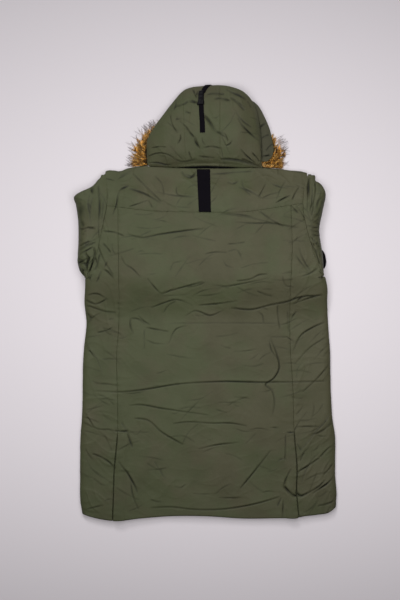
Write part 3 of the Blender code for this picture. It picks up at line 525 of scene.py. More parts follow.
def make_back_panel():
    """The panel's grid: rows from the hem to the yoke seam, columns from seam to seam."""
    rows = body_rows(BACK_STEP)
    left, right = (line_at(SIDE_SEAMS, side, rows) - side * seam_half_gap(rows) for side in (-1, 1))
    x = left + (right - left) * stations(BACK_WIDTH, BACK_STEP)
    y = row_height(x, rows)
    y -= SEAM_GAP / 2 * (rows > YOKE_ROW - 1)
    height, shade = back_relief(x, y)
    top = back_level(y)
    to_seam = np.minimum(np.minimum(x - left, right - x), to_yoke_seam(x, y))
    outer = points_of(x, y, top + height - rounded(to_seam, SEAM_DIP) - hem_roll(x, y))
    return wall("back_cloth", outer, points_of(x, y, top - WALL + hem_roll(x, y)), OLIVE, shade)


sewn(make_back_panel(), "back_panel")

# ---------------------------------------------------------------- yoke
# The upper back. It is cut in one piece with the front shoulders, folds over both shoulder edges, and is sewn
# to the back below, to the sleeves at the armholes and to the hood at the neck.
EDGE, SOFT = 7.8, 16.0                      # a folded edge's radius below, and its softer reach on top
YOKE_REACH = 100.0                          # from its seam to the shoulder, and from an armhole to the neck
SHOULDER = [(-258, 324), (-248, 330), (-232, 331), (-217, 329), (-199, 335.5), (-160, 342), (-146, 343),
            (139, 338), (182, 334.5), (209, 330.5), (240, 327), (262, 321)]
NECK_LINE = [(-146, 341), (-74, 337.5), (0, 338.5), (84, 337), (139, 338)]
NECK_LEFT, NECK_RIGHT = -146.0, 139.0
NECK_EASE = 45.0                            # the shoulder's fold is sharp at the neck, soft this far from it
CREASE_TOP = 352.0                          # creases end here, on the shoulder's fold
NECK_SLIT_SHADOW, SLIT_SHADOW_INSET = 16.0, 4.0           # width of the near black strip under the neck slit, a painted shadow, and how far it ends inside the neck
FOLD_TURN = np.radians([72, 58, 44, 30, 15, 0, -18, -38, -60])


def fold_place(soft=SOFT):
    """A folded edge's section for each angle of FOLD_TURN: how far it is inside the outline, and its height.
    It is a quarter ellipse of soft by EDGE above the middle and a quarter circle of EDGE below it."""
    turn = FOLD_TURN[:, None]
    return np.where(turn > 0, soft, EDGE) * (1 - np.cos(turn)), EDGE * (1 + np.sin(turn))


def shoulder_height(x, step):
    """Height at x at a step of the way from the yoke seam to the shoulder's fold."""
    return spline(YOKE_SEAM, 1, x) * (1 - step) + (spline(SHOULDER, 1, x) - EDGE) * step


def arm_line(side, step):
    """The armhole beside the yoke at each step from the yoke seam to the shoulder."""
    x = np.full(np.shape(step), side * 245.0)
    for _ in range(3):
        x = line_at(ARMHOLES, side, shoulder_height(x, step))
    return x - side * SEAM_GAP / 2


def neck_gap(x):
    """Half the gap between the yoke and the hood: a slit, widest in the middle."""
    return SEAM_GAP / 2 + 2.3 * np.clip(1 - ((x - 5) / 80.0) ** 2, 0, 1)


def moved_out(grid, distance):
    """Points moved along the grid's own normals, which are across the columns times up the rows."""
    normal = np.cross(np.gradient(grid, axis=1), np.gradient(grid, axis=0))
    normal /= np.linalg.norm(normal, axis=-1, keepdims=True) + 1e-9
    return grid + normal * np.asarray(distance)[..., None]


def make_yoke():
    """The yoke's grid: rows up the back, round the shoulder fold and down the front, and columns in three
    stretches, of which the middle one ends at the neck."""
    up, down = stations(YOKE_REACH, 1.8)[:, None], np.linspace(1, 0, 16)[:, None]
    turns = np.ones((len(FOLD_TURN), 1))
    step = np.concatenate([up, turns, down])
    back, fold = slice(0, len(up)), slice(len(up), len(up) + len(turns))
    front = slice(fold.stop, None)
    left, right = arm_line(-1, step), arm_line(1, step)
    beside_neck, at_neck = stations(YOKE_REACH, 1.9), stations(NECK_RIGHT - NECK_LEFT, 1.9)[1:-1]
    x = np.concatenate([left + (NECK_LEFT - left) * beside_neck,
                        NECK_LEFT + (NECK_RIGHT - NECK_LEFT) * at_neck + 0 * left,
                        NECK_RIGHT + (right - NECK_RIGHT) * beside_neck], axis=1)
    seam, outline = spline(YOKE_SEAM, 1, x) + SEAM_GAP / 2, spline(SHOULDER, 1, x)
    neck = (x > NECK_LEFT) & (x < NECK_RIGHT)
    beside = np.clip(np.maximum(NECK_LEFT - x, x - NECK_RIGHT), 0, None)
    soft = 2 + (SOFT - 2) * ramp(beside / NECK_EASE)
    end = np.where(neck, spline(NECK_LINE, 1, x) - neck_gap(x), outline - soft)
    y = seam * (1 - step) + end * step
    inside, level = fold_place(soft[fold])
    y[fold] = outline[fold] - inside
    y[front] = (seam * (1 - step) + (outline - EDGE) * step)[front]
    low = underside(y)
    low[fold] = underside(outline[fold] - EDGE)
    z = low + COAT
    z[fold] = low[fold] + level
    z[front] = low[front]
    plan = y.copy()
    plan[fold] = outline[fold] - SOFT + 12 * (1 - np.sin(FOLD_TURN[:, None]))
    relief, shade = back_relief(x, np.minimum(plan, CREASE_TOP))
    fade = np.ones_like(step)
    fade[fold] = np.clip((np.sin(FOLD_TURN[:, None]) + 0.5) / 1.5, 0, 1)
    fade[front] = 0
    to_seam = np.minimum(x - left, right - x)
    to_seam[back] = np.minimum(to_seam, np.minimum(y - seam, 0.6 * (end - y) + 0.4 * beside))[back]
    base = points_of(x, y, z)
    outer = moved_out(base, relief * fade - rounded(to_seam, SEAM_DIP))
    inner = moved_out(base, -WALL + 0 * relief)
    gap = (slice(len(up) - 1, None), neck[0, :-1] | neck[0, 1:])
    return wall("yoke_cloth", outer, inner, OLIVE, shade * fade, gap)


def make_neck_slit_shadow():
    """A near black strip under the slit between the yoke and the hood, a painted shadow, which shows as the
    dark line between them: a strip along the neck line, which steps up from the yoke's lining to the hood's."""
    length = NECK_RIGHT - NECK_LEFT - 2 * SLIT_SHADOW_INSET
    x = NECK_LEFT + SLIT_SHADOW_INSET + length * stations(length, 4)
    share = stations(NECK_SLIT_SHADOW, 2)[:, None]
    y = spline(NECK_LINE, 1, x) + NECK_SLIT_SHADOW * (share - 0.5)
    edge = rounded(np.minimum(share, 1 - share) * NECK_SLIT_SHADOW, 0.4)
    outer = points_of(x, y, 8.3 + underside(y) * 0.9 + 6.4 * ramp((share - 0.4) / 0.35) - edge)
    # near black material of the painted shadow in the neck slit
    _, _, finish = nodes_of("black_slit_shadow")
    black = finish(Base_Color=(0.003, 0.003, 0.004), Roughness=0.9, Specular_IOR_Level=0.1)
    return strip("neck_slit_shadow", outer, outer - (0, 0, 0.9), black)


sewn(make_yoke(), "back_yoke")
sewn(make_neck_slit_shadow(), "back_yoke")

# ---------------------------------------------------------------- side panels
# The two sides, each from the side-back seam round the side fold to a seam on the front. Above the underarm a
# side panel is two flaps, which end at the armhole.
SIDE_EDGES = [(-545, -306, 308), (-528, -310, 321), (-505, -313.5, 324), (-440, -315, 322),
              (-332, -314, 320), (-292, -311, 314), (-232, -309, 311), (-112, -306, 308), (-52, -300, 304),
              (8, -304, 301), (40, -302, 301), (56, -301.5, 298), (70, -301, 294)]
UNDERARM, FRONT_SHARE = 54.0, 27 / 430      # the underarm's row, and the front seam's share across the back
CLEAR = 9.0                                 # a distance at which the rounding of every edge has ended
SIDE_AT, ARM_AT = 300.0, 270.0              # about how far out the side edge and the underarm are
SIDE_WIDTH, SLEEVE_DIP = 80.0, 3.5          # the flat part's width, and an edge's radius beside the sleeve
SIDES = (("left", -1), ("right", 1))


def front_seam(start, row, side):
    """The seam between a side panel and the front: a share of the way from a start at the side-back seam to
    the other one."""
    return start + FRONT_SHARE * (line_at(SIDE_SEAMS, -side, row) - start)


def run_along(grid):
    """Distance on the surface from the grid's first column."""
    return np.linalg.norm(np.diff(grid, axis=1, prepend=grid[:, :1]), axis=-1).cumsum(axis=1)


def round_fold(first, on_fold, count):
    """How much of the creases each column shows: all before the fold, a falling share on it, then none."""
    return np.concatenate([np.ones(first), on_fold, np.zeros(count - first - len(on_fold))])


def make_side_panel(name, side):
    """A side panel's grid: columns from its seam over the flat back, round the fold and under to the
    front."""
    rows = body_rows(2.3)
    split = int(np.argmin(np.abs(rows[:, 0] - UNDERARM)))
    seam = line_at(SIDE_SEAMS, side, rows) + side * seam_half_gap(rows)
    outline = line_at(SIDE_EDGES, side, row_height(side * SIDE_AT, rows))
    arm = line_at(ARMHOLES, side, row_height(side * ARM_AT, rows)) - side * SEAM_GAP / 2
    over = ramp((rows - UNDERARM + 14) / 14)
    inside, level = (values[:, 0] for values in fold_place())
    top_end, low_end = ((outline - side * reach) * (1 - over) + arm * over for reach in (SOFT, EDGE))
    top = seam + (top_end - seam) * stations(SIDE_WIDTH, 2.4)
    fold = outline - side * inside
    back_under = low_end + (seam - low_end) * np.linspace(0, 1, 14)
    hidden = seam + (front_seam(seam, rows, side) + side * SEAM_GAP - seam) * np.linspace(0, 1, 5)[1:]
    x = np.concatenate([top, fold, back_under, hidden], axis=1)
    first, last = top.shape[1], top.shape[1] + fold.shape[1]
    y = row_height(x, rows)
    y[-1] -= SEAM_GAP / 2
    y[split, first:last] -= SEAM_GAP
    z = underside(y)
    z[:, :first] += COAT
    z[:, first:last] += level
    base = points_of(x, y, z)
    fade = round_fold(first, np.clip((np.sin(FOLD_TURN) + 0.6) / 1.6, 0, 1), x.shape[1])
    relief, shade = back_relief(seam + side * run_along(base), y)
    column = np.arange(x.shape[1])
    to_edge = np.minimum(np.abs(x - seam), to_yoke_seam(x, y))
    to_arm = np.where((rows > UNDERARM) & (column < first), np.abs(arm - x), np.inf)
    to_edge = np.where(column < first, np.minimum(to_edge, to_arm), CLEAR)
    to_sleeve = np.where(rows <= rows[split], rows[split] - rows, CLEAR) + CLEAR * (column < first - 3)
    roll = hem_roll(x, y)
    edges = rounded(to_edge, SEAM_DIP) + rounded(to_sleeve, SLEEVE_DIP) + roll
    outer, inner = moved_out(base, side * (relief * fade - edges)), moved_out(base, side * (roll - WALL))
    return wall(name, outer, inner, OLIVE, shade * fade, np.s_[split:, first - 1:last])


for name, side in SIDES:
    sewn(make_side_panel("side_cloth_" + name, side), "side_panel_" + name)

# ---------------------------------------------------------------- fronts and placket
# The coat's front faces the floor: two panels that meet under a stitched placket, up to the chin. The floor
# and the sleeves press them flat, so their creases are troughs.
PLACKET_HALF, PLACKET_THICK, PLACKET_STITCH = 32.0, 3.0, 26.0
CHIN = np.linspace(0, 0.8, 18)[1:, None]    # steps from the yoke seam towards the shoulder
FRONT_DENTS = scattered(11, 60, (-200, 200, -520, 300), 0.1, 0.6) + [
    (2.4, 1.6, 12, (-196, -232), (-150, -220), (-96, -226), (-44, -214)),
    (2.4, 1.6, 12, (40, -204), (92, -212), (150, -200), (196, -206)),
    (2.0, 1.4, 12, (-190, -388), (-140, -402), (-84, -396)),
    (2.0, 1.4, 12, (48, -366), (104, -352), (166, -360)),
    (2.2, 1.5, 12, (-186, -96), (-128, -82), (-60, -92)), (2.2, 1.5, 12, (44, -70), (110, -84), (182, -66)),
    (1.8, 1.4, 11, (-180, -40), (-120, 8), (-76, 40)), (1.8, 1.4, 11, (64, 36), (118, 0), (176, -34)),
    (1.8, 1.3, 11, (-176, -500), (-132, -462), (-110, -430)),
    (1.8, 1.3, 11, (96, -500), (136, -470), (168, -424)),
]


def pressed(x, y):
    """Dents in the cloth that lies on the floor, and their painted shade: the absolute value of creases and a
    slow wave. The creases are worked out at half size, so they are twice as wide as those on the back."""
    halves = [(ridge, valley, width / 2, *(np.array(corners) / 2))
              for ridge, valley, width, *corners in FRONT_DENTS]
    height, shade = crease_field(halves, x / 2, y / 2)
    return np.minimum(np.abs(height), 3.5) + 0.5 + 0.5 * np.sin(x / 37 + y / 53), 0.7 * shade


def make_front(name, side):
    """A front's grid: rows from the hem to the yoke seam and on to the chin, columns from the side seam to
    the closure. Under the placket the wall is thinner."""
    beside_neck, under_placket = 9, 6       # columns
    body = body_rows(4.6)
    rows = np.concatenate([body, np.full_like(CHIN, YOKE_ROW)])
    step = np.concatenate([np.zeros_like(body), CHIN])
    start = front_seam(line_at(SIDE_SEAMS, side, rows), rows, side) - side * SEAM_GAP / 2
    neck = (NECK_LEFT if side < 0 else NECK_RIGHT) - side * SEAM_GAP + 0 * rows
    ledge = side * (PLACKET_HALF + 0.5) + 0 * rows
    middle = side * SEAM_GAP / 2 + 0 * rows
    x = np.concatenate([start + (neck - start) * np.linspace(0, 1, beside_neck),
                        neck + (ledge - neck) * stations(110, 4.6)[1:],
                        ledge - side * 0.5 + (middle - ledge) * np.linspace(0, 1, under_placket)], axis=1)
    y = np.where(step > 0, shoulder_height(x, step), row_height(x, rows))
    y[len(body) - 1] -= SEAM_GAP / 2
    low, roll = underside(y), hem_roll(x, y)
    bare = np.arange(x.shape[1]) < x.shape[1] - under_placket
    dents, shade = pressed(x, y)
    outer = points_of(x, y, low + np.where(bare, dents, PLACKET_THICK + 0.5) + roll)
    inner = points_of(x, y, low + WALL - roll * bare)
    return wall(name, outer, inner, OLIVE, shade * bare, np.s_[len(body) - 1:, :beside_neck - 1])


def placket_level(y):
    """Height of the placket's face over the floor: small waves along it."""
    return underside(y) + 0.2 * np.abs(np.sin(y / 23))


def make_placket():
    """The placket: a flat strip with two rows of stitching sunk into it."""
    x = PLACKET_HALF * (2 * stations(2 * PLACKET_HALF, 7) - 1)
    y = np.concatenate([row_height(x, body_rows(9.0)), shoulder_height(x, CHIN)])
    sunk = 0.5 * bell((np.abs(x) - PLACKET_STITCH) / 1.2) + rounded(PLACKET_HALF - np.abs(x), 1.2)
    outer, inner = points_of(x, y, placket_level(y) + sunk), points_of(x, y, underside(y) + PLACKET_THICK)
    return strip("placket_cloth", outer, inner, OLIVE)


for name, side in SIDES:
    sewn(make_front("front_cloth_" + name, side), "front_" + name)
sewn(make_placket(), "front_placket")

# ---------------------------------------------------------------- vent facings
# A facing lies along each vent in the back panel: a doubled strip of the shell cloth, stitched down along
# its inner edge.
FACING_THICK, FACING_LIFT = 1.5, 0.3


def make_facing(name, side):
    """A facing's grid on the back panel's surface, from the vent's edge to its inner edge, lifted off it."""
    rows = np.linspace(HEM_ROW, VENT_TOP, 95)[:, None]
    own = line_at(SIDE_SEAMS, side, rows) - side * seam_half_gap(rows)
    x = own + (front_seam(own, rows, side) - own) * stations(27, 2.2)
    y = row_height(x, rows)
    height, shade = back_relief(x, y)
    to_inner = np.abs(x - x[:, -1:])
    edge = np.minimum(np.minimum(np.abs(x - x[:, :1]), to_inner), np.minimum(y[-1:] - y, y - y[:1]))
    low = back_level(y) + height + FACING_LIFT
    thick = 0.3 + FACING_THICK * ramp(to_inner / 9)
    outer = points_of(x, y, low + thick - rounded(edge, 0.3))
    return strip(name, outer, points_of(x, y, low), OLIVE, shade)


for name, side in SIDES:
    sewn(make_facing("vent_strip_" + name, side), "vent_facing_" + name)

# ---------------------------------------------------------------- sleeves
# Each sleeve is sewn into its armhole, turns under the coat along its folded edge and lies there doubled, as
# a flat bundle of four layers that ends at the middle.
SLEEVE_FOLDS = [(66, -303, 293.5), (78, -313, 291.5), (92, -319, 291.5), (120, -321, 289.5),
                (152, -319, 284), (183, -319, 281), (218, -321, 287.5), (245, -325, 293), (266, -327, 297),
                (277, -313, 296), (290, -286, 290), (298, -277, 283), (306, -271, 271), (312, -264.5, 272),
                (318, -262.5, 270), (326, -259, 261)]
SLEEVE_CREASES = [
    (2.4, 1.3, 6, (257, 227), (262, 259), (263, 300)), (2.6, 1.5, 6, (262, 218), (266, 248), (272, 286)),
    (2.8, 1.5, 6, (266, 215), (275, 245), (285, 274)), (2.6, 1.2, 6, (272, 212), (284, 236), (297, 265)),
    (2.2, 1.4, 6, (259, 232), (268, 262), (272, 300)), (2.2, 1.6, 6, (-312, 190), (-310, 225), (-313, 262)),
    (2.2, 1.6, 6, (-287, 190), (-289, 230), (-284, 262)), (2.4, 1.8, 9, (-316, 142), (-274, 158)),
    (3.0, 2.4, 9, (-324, 112), (-308, 104), (-298, 90)), (1.6, 1.2, 9, (-300, 200), (-304, 245)),
    (1.6, 1.2, 8, (-312, 205), (-316, 240)), (2.4, 1.4, 7, (266, 205), (277, 197), (287, 190)),
    (2.8, 1.7, 8, (257, 155), (270, 128), (283, 94)), (2.4, 1.6, 8, (256, 63), (267, 76), (277, 88)),
    (3.5, 3.4, 8, (-267, 203), (-265.5, 232), (-266, 262), (-269, 292)),
    (2.4, 1.4, 8, (-266, 160), (-268, 184), (-267, 206)),
    (2.2, 1.5, 8, (-259, 208), (-258, 230), (-257, 253)),
    (3.2, 4.5, 7, (-282, 269), (-285, 280), (-284, 289)),
    (2.2, 1.5, 9, (-309, 176), (-305, 208), (-307, 244)),
    (3.0, 2.7, 9, (-319, 187), (-309, 183), (-294, 187), (-275, 184)),
    (3.0, 2.5, 8, (-316, 130), (-298, 140), (-275, 151)),
    (3.0, 2.5, 8, (-314, 121), (-298, 130), (-280, 140)),
    (2.2, 1.7, 8, (-291, 221), (-294, 248), (-289, 271)),
    (2.4, 2.4, 7, (-315, 141), (-303, 148), (-290, 154)),
    (2.4, 2.1, 7, (-318, 133), (-305, 139), (-292, 147), (-281, 152)),
    (3.0, 6.5, 9, (-302, 127), (-297, 118), (-292, 111), (-294, 104), (-297, 92), (-298, 76)),
    (2.8, 4.6, 8, (-330, 97), (-318, 101), (-305, 106), (-290, 112)),
    (0.0, 3.4, 14, (-316, 97), (-306, 98), (-297, 96)), (1.6, 3.2, 7, (-300, 80), (-307, 81), (-314, 86)),
    (2.4, 4.8, 8, (-296, 70), (-287, 86), (-282, 102), (-278, 117), (-277, 126), (-281, 138)),
    (2.0, 3.0, 7, (-304, 70), (-314, 81), (-327, 93)), (2.4, 1.2, 7, (250, 230), (251, 262), (249, 292)),
    (3.2, 5.2, 7, (253, 256), (253.5, 275), (254, 296), (257, 314)),
    (2.4, 1.6, 7, (268, 288), (271, 298), (275, 308)), (2.6, 1.5, 7, (261, 203), (270, 215), (284, 229)),
    (2.4, 1.6, 7, (261, 199), (270, 203), (281, 209)), (2.2, 1.3, 7, (255, 189), (268, 187), (284, 190)),
    (2.6, 2.2, 7, (262, 171), (271, 168), (282, 167)), (2.2, 1.2, 7, (256, 183), (268, 179), (281, 177)),
    (3.0, 2.0, 8, (258, 165), (274, 147), (288, 130)), (2.8, 1.8, 8, (249, 142), (264, 113), (280, 91)),
    (2.7, 1.9, 8, (234, 118), (244, 98), (256, 77)), (2.6, 1.4, 8, (264, 150), (273, 131), (284, 112)),
]
SLEEVE_RUMPLES = (scattered(21, 22, (-340, -255, 60, 310), 1.3, 0.5)
                  + scattered(22, 22, (250, 320, 60, 310), -1.1, 0.5))
SLEEVE_TURN = np.radians([90, 78, 66, 54, 42, 30, 18, 6, -6, -18, -30, -44, -58, -74, -90])
SLEEVE_TOPS = {-1: 319.5, 1: 319.0}         # height of each sleeve's upper end
UNDER_END, SLEEVE_LONG_TOP = 238.4, 255.0   # how far a sleeve goes under the coat, and up to which height


def sleeve_base(y):
    """Height of the sleeve's underside: on the floor between its two closed ends."""
    return 14.0 * (1 - ramp((y - 66) / 24)) + underside(y) * ramp((y - 250) / 36)


def make_sleeve(name, side):
    """A sleeve's grid: columns from the armhole over the top, round a half ellipse and under the coat."""
    lowest, highest = row_height(side * ARM_AT, UNDERARM) + SEAM_GAP, SLEEVE_TOPS[side]
    y = lowest + (highest - lowest) * stations(265, 2.3)[:, None]
    arm, fold = line_at(ARMHOLES, side, y) + side * SEAM_GAP / 2, line_at(SLEEVE_FOLDS, side, y)
    top, base = back_level(y), sleeve_base(y)
    tall = (top - base) / 2
    wide = np.minimum(tall, 0.8 * np.abs(fold - arm))
    start = fold - side * wide
    flat = arm + (start - arm) * stations(40, 2.2)[:-1]
    curve = start + side * wide * np.cos(SLEEVE_TURN)
    inward = np.minimum(np.abs(arm), np.abs(start)) * side
    under = start + (inward - start) * np.linspace(0, 1, 6)[1:]
    tail = under[:, -1:] + (side * UNDER_END - under[:, -1:]) * np.linspace(0, 1, 5)[1:]
    x = np.concatenate([flat, curve, under, tail], axis=1)
    z = np.concatenate([top + 0 * flat, (top + base) / 2 + tall * np.sin(SLEEVE_TURN), base + 0 * under,
                        base + 0 * tail], axis=1)
    grid = points_of(x, y, z)
    plan = arm + side * run_along(grid)
    fade = round_fold(flat.shape[1], np.clip((np.sin(SLEEVE_TURN) + 0.8) / 1.4, 0, 1), x.shape[1])
    relief, shade = crease_field(SLEEVE_CREASES + SLEEVE_RUMPLES, plan, y + 0 * plan)
    to_arm = np.abs(plan - arm)
    relief += seam_relief(to_arm, y + 40, 0.6, 5)
    relief += 0.9 * np.sin(plan / 13 + y / 47) * np.sin(y / 23 - plan / 61)
    relief += crumples(plan, y, 1.3)
    ends = np.minimum(y - lowest, highest - y)
    edges = rounded(np.minimum(to_arm, ends), SEAM_DIP) + rounded(y - lowest, 3.0) * ramp((to_arm - 3) / 8)
    outer = moved_out(grid, side * (relief * fade - edges))
    inner = moved_out(grid, side * (-WALL + 0 * relief))
    beyond = (y[1:, 0] > SLEEVE_LONG_TOP, slice(-1 - tail.shape[1], None))
    return wall(name, outer, inner, OLIVE, shade * fade, beyond)


def loft(name, rings, material):
    """Closed tube through rings of points, each joined to the next, with a ring drawn to its middle at both
    ends."""
    centre = rings.mean(axis=1, keepdims=True)
    start, end = ([centre[k] + size * (rings[k] - centre[k]) for size in (0.02, 0.6)] for k in (0, -1))
    rings = np.concatenate([start, rings, end[::-1]])
    count, around = rings.shape[:2]
    number = np.arange(count * around).reshape(count, around)
    beside = np.roll(number, -1, axis=1)
    faces = np.stack([number[:-1], beside[:-1], beside[1:], number[1:]], axis=-1).reshape(-1, 4)
    points = rings.reshape(-1, 3)
    a, b, c = points[faces[:, 0]], points[faces[:, 1]], points[faces[:, 2]]
    if (np.cross(b - a, c - a) * (a - points.mean(axis=0))).sum() < 0:
        faces = faces[:, ::-1]
    return make_object(name, points, faces, material)[0]


def make_bundle(name, side):
    """A folded sleeve: sections across it from the fold to the middle, each flat above and below, with its
    four layers as bulges of a sine along both long edges. Distances are from the middle of the coat."""
    end = 294.0 if side < 0 else 254.0
    thick, layers, groove = 28.2, 4, 3.2
    # distance from the middle, lower edge, upper edge, underside, top
    table = np.array([
        (6, 92, 236, 2, 26), (12, 82, 245, 0.6, 27.8), (40, 79, 248, 0, thick), (120, 78, 250, 0, thick),
        (190, 79, 250, 0, thick), (225, 82, 249, 0, thick), (UNDER_END - 1, 100, 244, 0.2, thick),
        (UNDER_END + 2, 108, 242, 8.2, thick), (end - 4, 109, 241, 8.2, thick), (end + 7, 122, 232, 12, 24)])
    at = np.unique(np.concatenate([np.linspace(6, end + 7, 46), table[:, 0]]))[:, None]
    first, last, bottom, top = (np.interp(at, table[:, 0], table[:, k]) for k in (1, 2, 3, 4))
    level = np.linspace(0, 1, 33)
    inset = groove * (1 - np.abs(np.sin(np.pi * layers * level)) ** 0.6) + 3.5 * np.abs(2 * level - 1) ** 12
    side_z = bottom + (top - bottom) * level
    wave = 1.2 * np.sin(side * at / 19 + 5 * np.floor(level * layers * 0.999))
    low_y, high_y = first + inset + wave, last - inset + wave
    flat = np.linspace(0, 1, 16)[1:-1]
    over = low_y[:, -1:] + (high_y[:, -1:] - low_y[:, -1:]) * flat
    beneath = high_y[:, :1] + (low_y[:, :1] - high_y[:, :1]) * flat
    dent = 0.6 * (1 + np.sin(at / 17 + over / 29)) + 0.4
    y = np.concatenate([low_y, over, high_y[:, ::-1], beneath], axis=1)
    z = np.concatenate([side_z, top - 0.2 + 0 * over, side_z[:, ::-1], bottom + dent], axis=1)
    return loft(name, points_of(side * at, y, z), OLIVE)


for name, side in SIDES:
    folded = "sleeve_%s_folded" % name
    sewn(make_sleeve("sleeve_cloth_" + name, side), "sleeve_" + name)
    bundle = make_bundle("sleeve_bundle_" + name, side)
    dressed(bundle, folded)

# ---------------------------------------------------------------- rib cuff
# The end of the right sleeve's knitted storm cuff, which shows under the fold. It is a tube of black rib
# knit, sewn into the sleeve's lining.
CUFF_LOW, CUFF_HIGH, RIB = 86.0, 136.0, 3.1
# Sections up the coat: height, reach beyond the sleeve's fold, thickness
CUFF_SECTIONS = [(86, 3, 2), (92, 5, 5), (101, 7, 8), (112, 7.5, 8), (123, 7, 8), (131, 5, 6), (136, 3, 3)]


def make_knit(name):
    """Rib knit: near black yarn, matt and a little hairy."""
    add, blend, finish = nodes_of(name)
    loops = add("TexWave", "Fac", add("TexCoord", "Object"), Scale=300.0, Distortion=1.5, Detail=2.0,
                bands_direction="DIAGONAL")
    tone = add("MapRange", "Result", loops, To_Min=0.5, To_Max=1.0)
    return finish(Base_Color=blend(tone, (0.0015, 0.0015, 0.002), (0.006, 0.005, 0.0065)),
                  Normal=add("Bump", "Normal", Height=loops, Strength=0.6, Distance=0.0004),
                  Roughness=0.95, Specular_IOR_Level=0.1)


def make_cuff():
    """The cuff's sections up the coat: a flat oval beside the sleeve's fold, with ribs as a sine round it."""
    y = np.linspace(CUFF_LOW, CUFF_HIGH, 60)[:, None]
    reach, height = spline(CUFF_SECTIONS, 1, y), spline(CUFF_SECTIONS, 2, y)
    arm, fold = line_at(ARMHOLES, 1, y), line_at(SLEEVE_FOLDS, 1, y)
    tall = (RISE + COAT) / 2
    wide = np.minimum(tall, 0.8 * (fold - arm))
    turn = np.linspace(0, 2 * np.pi, 40, endpoint=False)
    z = 0.4 + (height - 0.4) * (0.5 + 0.5 * np.sin(turn))
    inner = fold - wide + wide * np.sqrt(1 - np.clip((z - tall) / tall, -1, 1) ** 2) + 1.6
    outward = 0.5 + 0.5 * np.cos(turn)
    x = inner + (reach + 4 + 0.35 * np.sin(y * 2 * np.pi / RIB)) * outward
    return loft("cuff_knit", points_of(x, y, z), make_knit("black_rib_knit"))


cuff = make_cuff()
dressed(cuff, "cuff_right")

# ---------------------------------------------------------------- webbing tape
# A flat strip of black ribbed webbing, sewn down the middle of the yoke and folded in at both ends. It evens
# out half of the yoke's creases.
TAPE_THICK, TAPE_LIFT = 1.8, 0.6
TAPE_FOLD = 313.5                           # height of the ridge where its upper end is folded in


def make_webbing(name):
    """Black webbing: woven ribs across it, as a wave along the strip, a little glossy."""
    add, blend, finish = nodes_of(name)
    place = add("TexCoord", "Object")
    ribs = add("TexWave", "Fac", place, Scale=210.0, Distortion=0.4, bands_direction="Y")
    weave = add("TexNoise", "Fac", place, Scale=1400.0, Detail=2.0)
    return finish(Base_Color=blend(weave, (0.0015, 0.001, 0.002), (0.005, 0.004, 0.0065)),
                  Normal=add("Bump", "Normal", Height=ribs, Strength=0.5, Distance=0.0003),
                  Roughness=0.85, Specular_IOR_Level=0.06)


WEBBING = make_webbing("black_webbing")


def tape_sides(step):
    """The tape's left and right edge at a step from the yoke seam to the neck: it narrows and leans."""
    return -19 - 5 * step, 11 - 2 * step


def tape_base(x, y):
    """Height of the tape's underside, with half of the yoke's relief."""
    return back_level(y) + back_relief(x, y)[0] * 0.5 + TAPE_LIFT


def make_tape():
    """The tape's grid on the yoke, from the seam to the neck, with its upper end's ridge."""
    step = stations(110, 2.0)[:, None]
    left, right = tape_sides(step)
    x = left + (right - left) * stations(33, 2.2)
    low_end = spline(YOKE_SEAM, 1, x) + 0.6
    y = low_end + (spline(NECK_LINE, 1, x) - neck_gap(x) - 2.6 - low_end) * step
    edge = np.minimum(np.minimum(x - left, right - x), np.minimum(y - y[:1], y[-1:] - y))
    low = tape_base(x, y)
    outer = points_of(x, y, low + TAPE_THICK + 0.5 * ramp((y - TAPE_FOLD) / 1.6) - rounded(edge, 0.9))
    return strip("tape_webbing", outer, points_of(x, y, low), WEBBING)


sewn(make_tape(), "back_tape")

# ---------------------------------------------------------------- hood
# The hood: two sides sewn to a centre strip, padded like the coat, with its face opening on the floor over
# the fur. Its crown is creased where it folds over.
# Columns along the hood's rim: neck x, rim x, rim y, lip height, height of the dome
HOOD_COLUMNS = [(-145, -147.5, 350, 17.6, 1), (-135, -148, 377, 17.6, 7), (-121, -146, 407, 17.6, 14),
                (-106, -129, 438, 17.6, 21), (-89, -110, 464, 17.6, 27), (-71, -85, 497, 12, 32),
                (-51, -59, 527, 5, 36), (-34, -37, 537, 5, 37), (-17, -17, 539.5, 5, 38),
                (-2.5, -2.5, 541, 5, 38), (33.5, 33, 542.5, 5, 38), (54, 61, 538, 14, 36),
                (74, 90, 526, 21.8, 32), (91, 111, 505, 21.8, 27), (106, 124, 475, 21.8, 22),
                (119, 131, 438, 21.8, 16), (129, 135, 400, 21.8, 10), (135, 136, 365, 21.8, 4),
                (137.5, 137, 352, 21.4, 1)]
